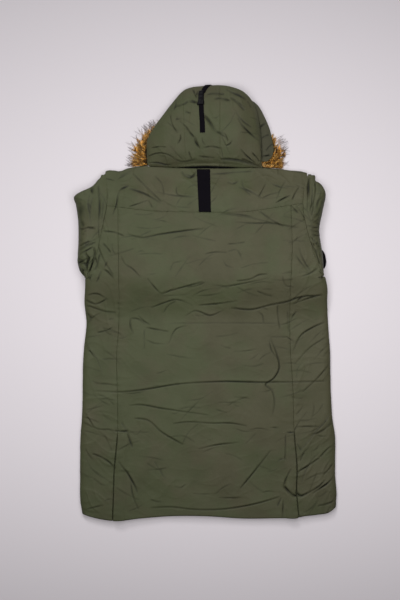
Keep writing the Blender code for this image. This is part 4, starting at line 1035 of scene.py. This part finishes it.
# Panels: name, first and last column, width of its grid, cut size and area in metres
HOOD_PANELS = [("left", 0, 6, 250, (0.13, 0.235), 0.0205), ("centre", 6, 10, 95, (0.095, 0.235), None),
               ("right", 10, 18, 250, (0.13, 0.235), 0.0205)]
HOOD_LENGTH, HOOD_STEP = 185, 2.0
HOOD_MIDDLE, LINING_SHARE = np.array([-5.0, 354.0, 0.0]), np.array([0.968, 0.968, 0.90])
NECK_HEIGHT, LIP_RISE = 17.0, 6.0
HOOD_CREASES = [
    (2.7, 5.4, 8, (-8, 468), (2, 457), (13, 441), (23, 424)), (2.3, 3.0, 8, (1, 519), (18, 521), (45, 520)),
    (2.2, 1.6, 7, (20, 427), (27, 424), (32, 418)),
    (2.0, 1.6, 8, (24, 424), (38, 417), (50, 407), (54, 399)),
    (2.7, 3.0, 8, (20, 507), (35, 509), (47, 506), (60, 502)),
    (2.9, 3.4, 8, (60, 511), (78, 496), (88, 485), (96, 478)),
    (2.7, 3.0, 8, (47, 532), (62, 524), (80, 516), (100, 504)),
    (2.1, 1.2, 7, (78, 499), (87, 491), (96, 484)), (2.3, 1.5, 8, (102, 502), (108, 494), (112, 485)),
    (2.5, 2.7, 9, (78, 460), (88, 442), (105, 424), (130, 403)),
    (1.7, 1.5, 8, (72, 477), (85, 457), (102, 442), (115, 434)),
    (1.9, 2.2, 8, (48, 390), (58, 395), (65, 403)), (1.9, 1.8, 9, (25, 425), (45, 419), (53, 403)),
    (2.3, 2.7, 8, (85, 382), (95, 370), (110, 357), (122, 347)),
    (2.1, 2.1, 8, (112, 375), (122, 365), (132, 352)),
    (3.2, 6.3, 9, (35, 357), (58, 357), (80, 354), (102, 348), (132, 341)),
    (2.5, 4.5, 7, (88, 358), (105, 352), (117, 345)), (1.5, 1.4, 9, (-29, 415), (-24, 402), (-17, 382)),
    (1.7, 1.8, 9, (-19, 365), (0, 363), (21, 360)), (1.7, 1.7, 9, (-7, 385), (11, 388), (38, 383)),
    (2.5, 3.3, 9, (-77, 489), (-59, 494), (-45, 501)), (2.7, 4.8, 8, (-45, 502), (-34, 501), (-22, 497)),
    (2.3, 2.1, 8, (-82, 480), (-77, 490), (-76, 507)), (2.3, 3.3, 7, (-24, 510), (-28, 520), (-34, 533)),
    (1.9, 2.7, 6, (-29, 514), (-24, 520), (-21, 529)), (1.9, 1.8, 8, (-55, 476), (-38, 470)),
    (1.9, 2.1, 8, (-77, 457), (-64, 457)), (2.5, 3.3, 9, (-51, 437), (-42, 424), (-31, 411)),
    (2.3, 3.0, 9, (-31, 411), (-25, 395), (-16, 382)), (1.7, 2.1, 8, (-44, 377), (-41, 367), (-37, 357)),
    (2.1, 1.8, 10, (-146, 364), (-128, 371), (-107, 372), (-92, 367), (-78, 357)),
    (2.1, 2.1, 9, (-78, 357), (-64, 352), (-28, 357)),
    (2.1, 3.0, 8, (-143, 349), (-117, 348), (-100, 344), (-85, 345)),
    (1.7, 1.5, 9, (-137, 385), (-120, 388), (-100, 387)),
    (1.7, 1.5, 10, (-91, 469), (-85, 443), (-72, 420)), (1.6, 1.5, 10, (-67, 451), (-57, 443), (-49, 434)),
    (1.6, 1.5, 9, (-72, 394), (-65, 405), (-64, 420)),
] + scattered(31, 14, (-130, 130, 350, 520), -0.7, 0.7)


def along_table(table, at):
    """Every column of a table at a place along it, where each of its rows is one further on."""
    numbered = np.column_stack([np.arange(len(table)), table])
    return [spline(numbered, column, at) for column in range(1, numbered.shape[1])]


def hood_place(index, v):
    """The hood's form at a column index and a share v from the neck to the rim. Across, its height is a
    straight line from the neck to the rim plus a dome, (1 - |2 v - 1| to the power 2.4) to the power 0.8.
    Beyond v = 1 it rolls in towards the lip over a quarter turn. The neck seam has a roll and a hollow
    above it, as bell curves."""
    neck_x, rim_x, rim_y, lip, dome = along_table(HOOD_COLUMNS, index)
    neck_y = spline(NECK_LINE, 1, neck_x) + neck_gap(neck_x)
    length = np.hypot(rim_x - neck_x, rim_y - neck_y)
    turn = np.clip(v - 1, 0, 1) * np.pi / 2
    v = np.minimum(v, 1) - np.minimum(2.5 / length, 0.1) * (1 - np.cos(turn))
    rise = np.clip(1 - np.abs(2 * v - 1) ** 2.4, 0, None) ** 0.8
    equator = lip + LIP_RISE * np.minimum(1, length / 50)
    z = NECK_HEIGHT * (1 - v) + equator * v + dome * rise - (equator - lip) * np.sin(turn)
    run = v * length
    roll = 3.0 * bell((run - 2.4) / 2.2) - 1.6 * bell((run - 8) / 3.5)
    z = z + roll * bell(neck_x / 75) * (v < 0.5)
    return points_of(neck_x + (rim_x - neck_x) * v, neck_y + (rim_y - neck_y) * v, z), rise, length


def hood_relief(grid, rise, v, length):
    """Creases and billows of the hood, gathers at the neck and a rolled ridge inside the rim."""
    x, y = grid[..., 0], grid[..., 1]
    height, shade = crease_field(HOOD_CREASES, x, y)
    height += 0.9 * np.sin(x / 17 + 1.3 * np.sin(y / 29)) * np.sin(y / 21 - x / 47) + crumples(x, y, -0.6)
    height = 1.15 * height * rise ** 0.35
    height += pucker(v * length, x) * np.minimum(rise * 3, 1)
    height += 1.2 * bell((1 - v) * length / 4) * (v <= 1) * np.minimum(1, length / 60)
    return height, shade * np.minimum(rise * 4, 1)


def make_hood_panel(name, first, last, width):
    """A panel of the hood between two columns: its outside with creases, and its lining, which is the outside
    drawn in towards the hood's middle."""
    even = np.linspace(0, 1, round(width / HOOD_STEP))
    between_seams = first > 0 and last < len(HOOD_COLUMNS) - 1
    index = first + (last - first) * (stations(width, HOOD_STEP) if between_seams else even)
    v = np.concatenate([stations(HOOD_LENGTH, HOOD_STEP), 1 + np.array([0.25, 0.5, 0.75, 1.0])])[:, None]
    base, rise, length = hood_place(index + 0 * v, v + 0 * index)
    relief, shade = hood_relief(base, rise, v, length)
    run = run_along(base)
    to_seam = np.full(run.shape, CLEAR)
    if first > 0:
        to_seam = np.minimum(to_seam, run + SEAM_GAP / 2)
    if last < len(HOOD_COLUMNS) - 1:
        to_seam = np.minimum(to_seam, run[:, -1:] - run + SEAM_GAP / 2)
    outer = moved_out(base, relief - rounded(to_seam, 0.5) - rounded(v * length, 0.8))
    return wall(name, outer, HOOD_MIDDLE + (base - HOOD_MIDDLE) * LINING_SHARE, OLIVE, shade)


for name, first, last, width, flat, area in HOOD_PANELS:
    panel = make_hood_panel("hood_cloth_" + name, first, last, width)
    sewn(panel, "hood_" + name)

# ---------------------------------------------------------------- hood front band
# The front of the hood comes out from under the right side's edge as a flatter band of the same cloth. Its
# free edge lies over the fur.
# Places along it: x and y of the free edge, x and y of the edge under the hood
HOOD_BAND = [(97, 516, 84, 505), (128, 493, 100, 484), (146, 462, 112, 458), (158, 433, 119, 430),
             (165, 403, 124, 400), (168, 382, 126, 380), (163, 364, 126, 364), (151, 352, 124, 353)]
BAND_CREASES = [
    (2.4, 3.6, 7, (126, 433), (132, 436), (139, 442), (149, 449)),
    (1.8, 1.6, 7, (149, 380), (157, 390), (166, 397)), (2.2, 2.2, 9, (139, 365), (149, 367), (160, 368)),
    (2.0, 1.6, 8, (124, 457), (132, 444), (136, 440)), (1.8, 1.2, 8, (137, 410), (149, 417), (157, 419)),
]
BAND_TOP, BAND_WALL = 18.6, 3.2
BAND_PAINTED_SHADOW = 0.42                           # painted shadow, as the band lies in the hood's shadow


def make_band():
    """The band's grid: across it from under the hood to its free edge, which is rounded, and along it."""
    last = len(HOOD_BAND) - 1
    at = np.linspace(0, last, 90)[:, None]
    outer_x, outer_y, inner_x, inner_y = along_table(HOOD_BAND, at)
    share = 1 - stations(40, 2.2)[::-1]
    x, y = inner_x + (outer_x - inner_x) * share, inner_y + (outer_y - inner_y) * share
    height, shade = crease_field(BAND_CREASES, x, y)
    rim = (1 - share) * np.hypot(outer_x - inner_x, outer_y - inner_y)
    ends = np.minimum(at, last - at) * 20
    top = BAND_TOP + height * (ramp(rim / 8) * ramp(ends / 8)) - rounded(np.minimum(rim, ends + 0.2), 1.6)
    return strip("hood_band", points_of(x, y, top), points_of(x, y, BAND_TOP - BAND_WALL), OLIVE,
                 np.minimum(1, shade + BAND_PAINTED_SHADOW))


sewn(make_band(), "hood_front")

# ---------------------------------------------------------------- hood strap and slider
# A narrow black strap runs down the hood's centre strip from its crown and is threaded through a moulded
# plastic slider, which draws the hood in.
STRAP_GAP, STRAP_THICK = 0.5, 1.6
STRAP_HALF, STRAP_WIDTH = 6.6, 13.0         # half its width, and its width as a round figure for the grid
STRAP_END = 0.41                            # the strap's lower end, as a share from the neck to the rim
SLIDER_LOW, SLIDER_HIGH = 0.755, 0.93       # and the slider's two ends
SLIDER_THICK, SLIDER_HALF, SLIDER_LENGTH = 4.5, 7.4, 38.0


def hood_surface(index, v):
    """Points of the hood's outside with creases at a column index and a share v, and their outward side."""
    base, rise, length = hood_place(index, v)
    relief, _ = hood_relief(base, rise, v, length)
    return moved_out(base, relief), moved_out(base, relief + 1) - moved_out(base, relief)


def on_strip(x, v):
    """The same on the hood's centre strip, at a distance x from the coat's middle."""
    neck_x = [column[0] for column in HOOD_COLUMNS[6:11]]
    return hood_surface(np.interp(x, neck_x, [6, 7, 8, 9, 10]), v)


def make_strap():
    """The strap's grid: down the hood from the rim, bent to one side above the slider."""
    v = STRAP_END + (1 - STRAP_END) * stations(118, 2.0)
    v = np.concatenate([v, 1 + np.array([0.3, 0.6, 0.9])])[:, None]
    middle = -12.3 + 2.6 * ramp((0.8 - v) / 0.37) + 19 * np.clip((v - 0.87) / 0.14, 0, 1.05) ** 1.7
    half = STRAP_HALF + ramp((v - 0.93) / 0.07)
    x = middle + half * (2 * stations(STRAP_WIDTH, 1.6) - 1)
    points, side = on_strip(x, v + 0 * x)
    edge = np.minimum(half - np.abs(x - middle), (v - STRAP_END) * 200)
    top = points + side * (STRAP_GAP + STRAP_THICK - rounded(edge, 0.8))[..., None]
    return strip("strap_webbing", top, points + side * STRAP_GAP, WEBBING)


def make_plastic(name):
    """Black moulded plastic with a fine spark finish."""
    add, _, finish = nodes_of(name)
    grain = add("TexNoise", "Fac", add("TexCoord", "Object"), Scale=2200.0)
    return finish(Base_Color=(0.0025, 0.002, 0.003), Roughness=0.5, Specular_IOR_Level=0.1,
                  Normal=add("Bump", "Normal", Height=grain, Strength=0.15, Distance=0.0002))


def make_slider():
    """The slider: a rounded block over the strap, wider at its lower end, with bars across it as a cosine."""
    share, across = stations(SLIDER_LENGTH, 1.0)[:, None], 2 * stations(18, 1.0) - 1
    half = SLIDER_HALF + 1.8 * ramp((0.35 - share) / 0.3)
    v = SLIDER_LOW + (SLIDER_HIGH - SLIDER_LOW) * share
    middle = -12.6 - 1.2 * ramp((0.4 - share) / 0.4) + 1.5 * ramp((share - 0.75) / 0.25)
    x = middle + half * across
    points, side = on_strip(x, v + 0 * x)
    centre = slice(x.shape[1] // 2, x.shape[1] // 2 + 1)
    out = side[:, centre]
    points[..., 2] = 0.5 * points[..., 2] + 0.5 * points[:, centre, 2]
    low = points + out * (STRAP_GAP * 2 + STRAP_THICK)
    edge = np.minimum(half * (1 - np.abs(across)), np.minimum(share, 1 - share) * SLIDER_LENGTH)
    bars = 0.35 * np.cos(2 * np.pi * (share * 4 + 0.5)) * ramp(edge / 3) - 1.0
    top = low + out * (SLIDER_THICK + bars - rounded(edge, 2.4))[..., None]
    return strip("strap_slider", top, low, make_plastic("black_plastic"))


sewn(make_strap(), "hood_strap")
dressed(make_slider(), "hood_strap_slider")

# ---------------------------------------------------------------- fur trim
# The fur trim round the face opening: a pelt with dense golden brown fur in tufts and long dark guard hairs.
# It shows on both sides of the hood, and its middle is hidden under the crown.
# Places along the trim's middle line, from the right end to the left one: x, y, half width
FUR_PATH = [(164, 335.5, 29), (158, 374, 38), (137, 414, 28), (116, 455, 24), (80, 485, 22), (15, 502, 22),
            (-50, 485, 22), (-90, 452, 20), (-122, 415, 31), (-143, 380, 45), (-141, 340, 46)]
FUR_FLOOR, FUR_ROOF = 0.7, 14.6             # lowest and highest point of a hair
TUFT, GROUP = 26, 5                         # strands in a tuft of the fur, and guard hairs in a group


def make_hair(name, roots, middles, tips, roughness=0.5):
    """Hair material: its colour runs from the root over the middle to the tip by the attribute along, and a
    second attribute makes each strand lighter or darker."""
    add, _, finish = nodes_of(name)
    hue = add("ValToRGB", "Color", add("Attribute", "Fac", attribute_name="along"))
    scale = hue.node.color_ramp
    scale.elements[0].color, scale.elements[0].position = (*roots, 1), 0.1
    scale.elements[1].color, scale.elements[1].position = (*tips, 1), 1.0
    scale.elements.new(0.55).color = (*middles, 1)
    tone = add("MapRange", "Result", add("Attribute", "Fac", attribute_name="tint"), To_Min=0.07, To_Max=1.6)
    return finish(Base_Color=add("VectorMath", "Vector", hue, operation="SCALE", Scale=tone),
                  Roughness=roughness, Specular_IOR_Level=0.3)


SKIN = (0.16, 0.065, 0.01)
PELT = make_hair("fur_skin", SKIN, SKIN, SKIN, 0.9)
FUR = make_hair("golden_fur", (0.12, 0.045, 0.004), (0.58, 0.285, 0.038), (0.95, 0.70, 0.33))
GUARD = make_hair("guard_hair", (0.50, 0.25, 0.06), (0.17, 0.13, 0.12), (0.018, 0.016, 0.02))


def fur_frame(at):
    """The fur's middle line at a share of its length: its place, its outward side and its half width."""
    def place_at(share):
        x, y, half = along_table(FUR_PATH, share * (len(FUR_PATH) - 1))
        return np.stack([x, y], axis=-1), half

    place, half = place_at(at)
    ahead = place_at(at + 0.004)[0] - place_at(at - 0.004)[0]
    ahead /= np.linalg.norm(ahead, axis=-1, keepdims=True)
    return place, np.stack([ahead[..., 1], -ahead[..., 0]], axis=-1), half


def make_pelt():
    """The pelt: a flat oval tube along the fur's middle line, narrower than the fur."""
    place, outward, half = (values[:, None] for values in fur_frame(np.linspace(0.01, 0.99, 90)))
    turn = np.linspace(0, 2 * np.pi, 20, endpoint=False)
    across = half * (0.70 * np.cos(turn) - 0.14)
    x, y = (place[..., k] + outward[..., k] * across for k in (0, 1))
    return loft("fur_pelt", points_of(x, y, 4.3 + 2.3 * np.sin(turn)), PELT)


def make_strands(name, hairs, radius, tint, material, cuts=3):
    """Hair strands as tapered tubes of three sides: each follows the quadratic curve of its root, bend and
    tip, and its radius falls with the root of the share that is left. Hairs are kept over the floor, under
    the hood and clear of the shoulders."""
    for points in hairs:
        points[:, 2] = np.clip(points[:, 2], FUR_FLOOR, FUR_ROOF)
        points[:, 1] = np.maximum(points[:, 1], spline(SHOULDER, 1, points[:, 0]) + 1.2)
    root, bend, tip = hairs
    share = (np.arange(cuts) / cuts)[:, None, None]
    line = (1 - share) ** 2 * root + 2 * share * (1 - share) * bend + share ** 2 * tip
    ahead = tip - root
    ahead /= np.linalg.norm(ahead, axis=1, keepdims=True)
    aside = np.cross(ahead, (0.0, 0.0, 1.0))
    aside /= np.linalg.norm(aside, axis=1, keepdims=True)
    turn = np.radians([90, 210, 330])[:, None, None, None]
    ring = aside * np.cos(turn) + np.cross(aside, ahead) * np.sin(turn)
    tubes = line + ring * (radius[:, None] * np.sqrt(1 - 0.85 * share))
    tubes = np.moveaxis(tubes, 2, 0).swapaxes(1, 2)
    points = np.concatenate([tubes.reshape(len(root), -1, 3), tip[:, None]], axis=1)
    per, end = 3 * cuts + 1, 3 * (cuts - 1)
    cells = [(end + (j + 1) % 3, end + j, per - 1) for j in range(3)] + [(0, 1, 2)]
    for k in range(cuts - 1):
        for j in range(3):
            a, b = 3 * k + j, 3 * k + (j + 1) % 3
            cells += [(b, a, a + 3), (b, a + 3, b + 3)]
    faces = (np.array(cells) + (np.arange(len(root)) * per)[:, None, None]).reshape(-1, 3)
    piece, used = make_object(name, points.reshape(-1, 3), faces, material)
    along = np.append(np.repeat(share[:, 0, 0], 3), 1.0)
    mark(piece, used, "along", np.tile(along, len(root)))
    mark(piece, used, "tint", np.repeat(tint, per))
    return piece


def headings(dice, start, stop, count, lean):
    """Random places between two shares of the trim, with its outward side and half width there, and a heading
    for the hair, which is the outward side turned by a lean and at random."""
    place, outward, half = fur_frame(dice.uniform(start, stop, count))
    angle = np.arctan2(outward[:, 1], outward[:, 0]) + lean + dice.normal(0, 0.3, count)
    return place, outward, half, np.column_stack([np.cos(angle), np.sin(angle), 0 * angle])


def strewn(dice, points, spread):
    """Points moved at random, by a spread of their own along each axis."""
    return points + dice.normal(0, 1, points.shape) * spread


def sideways(dice, heading, spread, length):
    """A random bow to one side of each heading, as a share of the length."""
    return np.cross(heading, (0, 0, 1.0)) * (dice.normal(0, spread, len(heading)) * length)[:, None]


def make_fur(name, start, stop, count, seed, lean, radius=(0.22, 0.4), nearest=0.0, darker=0.9,
             low=2.5, rise=8.0):
    """Fur in small tufts between two shares of the trim. A tuft ends at a reach of the half width, from the
    nearest one on, and starts a hair's length nearer the hood. Tufts that end further in lie higher, and
    those beside the hood are darker: partly the fur's own darker colour there, partly a painted shadow of the
    hood. A strand's tip is drawn towards its tuft's tip."""
    dice = np.random.default_rng(seed)
    tufts = count // TUFT
    place, outward, half, heading = headings(dice, start, stop, tufts, lean)
    reach, length = dice.uniform(nearest, 1, tufts), dice.uniform(13, 22, tufts)
    level = low + rise * (1 - reach) + dice.normal(0, 1.2, tufts)
    tip = np.column_stack([place + outward * (reach * half)[:, None], level])
    root = tip - heading * length[:, None] + (0, 0, 1.5)
    tuft = dice.integers(0, tufts, count)
    own_root = strewn(dice, root[tuft], (2.2, 2.2, 0.9))
    own_tip = strewn(dice, tip[tuft], (0.8, 0.8, 0.5)) + heading[tuft] * dice.normal(0, 2, (count, 1))
    bend = 0.5 * (own_root + own_tip) + sideways(dice, heading, 0.16, length)[tuft]
    bend = strewn(dice, bend, 0.5) + (0, 0, 1.4)
    # tufts beside the hood are darker: partly darker fur, partly a painted shadow of the hood
    tint = 0.58 + dice.normal(0, 0.22, tufts) - darker * ramp((0.46 - reach) / 0.18)
    tint = np.clip(tint[tuft] + dice.normal(0, 0.1, count), 0, 1)
    return make_strands(name, (own_root, bend, own_tip), dice.uniform(*radius, count), tint, FUR)


def make_guard(name, start, stop, count, seed, lean):
    """Guard hairs: longer than the fur, thin and nearly straight. In groups, they meet at their dark tips."""
    dice = np.random.default_rng(seed)
    groups = count // GROUP
    place, outward, half, heading = headings(dice, start, stop, groups, lean)
    beyond = dice.uniform(5, 21, groups)
    tip = np.column_stack([place + outward * half[:, None], dice.uniform(3, 11, groups)])
    tip += heading * beyond[:, None]
    root = tip - heading * (beyond + dice.uniform(6, 14, groups))[:, None]
    group = np.repeat(np.arange(groups), GROUP)
    own_root, own_tip = strewn(dice, root[group], (2.4, 2.4, 1.0)), strewn(dice, tip[group], (0.5, 0.5, 0.4))
    bend = 0.5 * (own_root + own_tip) + sideways(dice, heading, 0.1, beyond)[group]
    radius, tint = dice.uniform(0.14, 0.26, len(group)), dice.uniform(0.2, 0.7, len(group))
    return make_strands(name, (own_root, bend, own_tip), radius, tint, GUARD)


fur = [
    make_pelt(),
    make_fur("fur_left", 0.70, 1.0, 9200, 41, -0.45),
    make_fur("fur_right", 0.0, 0.19, 7800, 42, 0.5, nearest=-0.9, darker=0.15),
    make_fur("fur_below", 0.0, 1.0, 3400, 43, 0.0, (0.5, 0.8), nearest=-0.9, darker=0.0, low=0.6, rise=0.2),
    make_guard("guard_hair_left", 0.73, 0.99, 230, 44, -0.4),
    make_guard("guard_hair_right", 0.01, 0.16, 110, 45, 0.2),
]
for piece in fur:
    dressed(piece, "fur_trim")

# ---------------------------------------------------------------- stitching
# Olive polyester thread, lock stitched: rows beside the long seams, inside the armholes, along the vents and
# the placket and up the hood, and black thread on the tape.
STITCH, STITCH_STEP, STITCH_RADIUS = 2.6, 3.4, 0.28


def make_stitches(name, lines, node, material, lift=0.24):
    """A row of spindles along each line of points on the cloth, one a stitch: its middle is lifted, and its
    two ends dip into the cloth. A negative lift is for the underside."""
    first, middle, last = [], [], []
    for line in lines:
        run = np.concatenate([[0], np.cumsum(np.linalg.norm(np.diff(line, axis=0), axis=1))])
        start = np.arange(0.6, run[-1] - STITCH, STITCH_STEP)
        for places, ahead in ((first, 0), (middle, STITCH / 2), (last, STITCH)):
            places.append(np.stack([np.interp(start + ahead, run, line[:, k]) for k in range(3)], -1))
    dip = (0, 0, 0.15 * np.sign(lift))
    start, end = np.concatenate(first) - dip, np.concatenate(last) - dip
    ahead = end - start
    ahead /= np.linalg.norm(ahead, axis=1, keepdims=True)
    aside = np.cross(ahead, (0, 0, 1.0))
    above = np.cross(aside, ahead)
    centre = np.concatenate(middle) + (0, 0, lift)
    ring = [centre + STITCH_RADIUS * (aside * np.cos(turn) + above * np.sin(turn))
            for turn in np.radians([45, 135, 225, 315])]
    points = np.stack([start, *ring, end], axis=1)
    cells = [(0, 1 + k, 1 + (k + 1) % 4) for k in range(4)] + [(5, 1 + (k + 1) % 4, 1 + k) for k in range(4)]
    faces = (np.array(cells) + (np.arange(len(points)) * 6)[:, None, None]).reshape(-1, 3)
    rows, _ = make_object(name, points.reshape(-1, 3), faces[:, ::-1], material)
    dressed(rows, node)


def on_back(x, y):
    """Points on the back's outside, creases included."""
    return points_of(x, y, back_level(y) + back_relief(x, y)[0])


def upright(side, offset, low=HEM_ROW, high=YOKE_ROW):
    """A line beside a side-back seam, at an offset from it."""
    row = np.linspace(low, high, 400)
    x = line_at(SIDE_SEAMS, side, row) + offset
    return on_back(x, row_height(x, row))


def level_line(low, high, offset):
    """A line beside the yoke seam."""
    x = np.linspace(low, high, 300)
    return on_back(x, spline(YOKE_SEAM, 1, x) + offset)


def arm_row(side, low, high):
    """A line inside an armhole."""
    y = np.linspace(low, high, 150)
    return on_back(line_at(ARMHOLES, side, y) - side * 3.0, y)


def hood_row(index):
    """A line up the hood at a column index."""
    v = np.linspace(0.03, 0.97, 300)[:, None]
    return hood_surface(index + np.array([[-0.05, 0.0, 0.05]]) + 0 * v, v + np.zeros((1, 3)))[0][:, 1]


def placket_row(x):
    """A line down the placket, which faces the floor."""
    y = np.linspace(-525, 300, 400)
    return points_of(x, y, placket_level(y) + 0.5)


def tape_row(share):
    """A line up the webbing tape at a share of its width."""
    step = np.linspace(0.03, 0.95, 120)
    left, right = tape_sides(step)
    x = left + (right - left) * share
    y = spline(YOKE_SEAM, 1, x) * (1 - step) + (spline(NECK_LINE, 1, x) - neck_gap(x)) * step
    return points_of(x, y, tape_base(x, y) + TAPE_THICK)


_, _, finish = nodes_of("olive_thread")
thread = finish(Base_Color=(0.060, 0.063, 0.038), Roughness=0.6)
make_stitches("stitches_back", [upright(-1, 3.0, -316), upright(1, -3.0, -316),
                                upright(-1, 29.5, -528, VENT_TOP - 3), upright(1, -27.0, -528, VENT_TOP - 3),
                                level_line(-216, 206, -3.2)], "back_panel", thread)
make_stitches("stitches_yoke", [level_line(-245, -27, 3.2), level_line(14, 238, 3.2), arm_row(-1, 246, 310),
                                arm_row(1, 252, 310)], "back_yoke", thread)
for name, side in SIDES:
    make_stitches("stitches_side_" + name, [arm_row(side, 72, 236)], "side_panel_" + name, thread)
make_stitches("stitches_hood", [hood_row(6.15), hood_row(9.85)], "hood_centre", thread)
make_stitches("stitches_placket", [placket_row(-PLACKET_STITCH), placket_row(PLACKET_STITCH)],
              "front_placket", thread, lift=-0.1)
make_stitches("stitches_tape", [tape_row(0.09), tape_row(0.91)], "back_tape", WEBBING)

# ---------------------------------------------------------------- floor, lights and camera
# A plain pale floor with painted light from within, most in the middle, a broad soft light beyond the upper
# edge, a weak one above the coat, a dim room and a camera straight above.
def make_floor():
    """A flat square, a hair under the coat, whose colour carries painted light: an emission that is most in
    the middle and lightens the shadows round the coat. It falls with the square of the height up the coat, in
    metres."""
    half = 4000.0
    corners = np.array([(-half, -half, -0.4), (half, -half, -0.4), (half, half, -0.4), (-half, half, -0.4)])
    add, _, finish = nodes_of("pale_floor")
    height = add("SeparateXYZ", "Y", add("TexCoord", "Object"))
    square = add("Math", "Value", height, height, operation="MULTIPLY")
    # painted light: the floor's emission, most in the middle
    painted_floor_light = add("Math", "Value", square, -0.26, 0.345, operation="MULTIPLY_ADD", use_clamp=True)
    pale = finish(Base_Color=(0.40, 0.375, 0.394), Roughness=0.95, Specular_IOR_Level=0.0,
                  Emission_Color=(1.0, 0.938, 0.978), Emission_Strength=painted_floor_light)
    make_object("floor", corners, np.array([[0, 1, 2, 3]]), pale)[0]


def place_in_scene(name, data, location):
    """An object of the stage at a place in metres."""
    item = bpy.data.objects.new(name, data)
    bpy.context.scene.collection.objects.link(item)
    item.location = location
    return item


def make_light(name, place, aim, size, power):
    """A square soft light at a place, turned to an aim."""
    light = bpy.data.lights.new(name, "AREA")
    light.shape, light.size, light.energy = "SQUARE", size, power
    toward = Vector(aim) - Vector(place)
    place_in_scene(name, light, place).rotation_euler = toward.to_track_quat("-Z", "Y").to_euler()


def make_camera():
    """A camera straight above, whose view is one metre by one and a half."""
    lens, sensor, tall = 150.0, 36.0, 1.5
    eye = bpy.data.cameras.new("camera")
    eye.lens, eye.sensor_width = lens, sensor
    bpy.context.scene.camera = place_in_scene("camera", eye, (-0.016, 0.0075, tall * lens / sensor))


make_floor()
bpy.context.scene.view_settings.view_transform = "Standard"
make_light("key", (-1.3, 4.6, 4.0), (0, 0, 0), 1.6, 180)
make_light("fill", (0.03, 0.12, 1.1), (0.03, 0.12, 0), 0.9, 11.5)
world = bpy.data.worlds.new("room")
bpy.context.scene.world = world
world.use_nodes = True
room = world.node_tree.nodes["Background"]
room.inputs["Color"].default_value, room.inputs["Strength"].default_value = (0.92, 0.90, 0.94, 1), 0.09
make_camera()
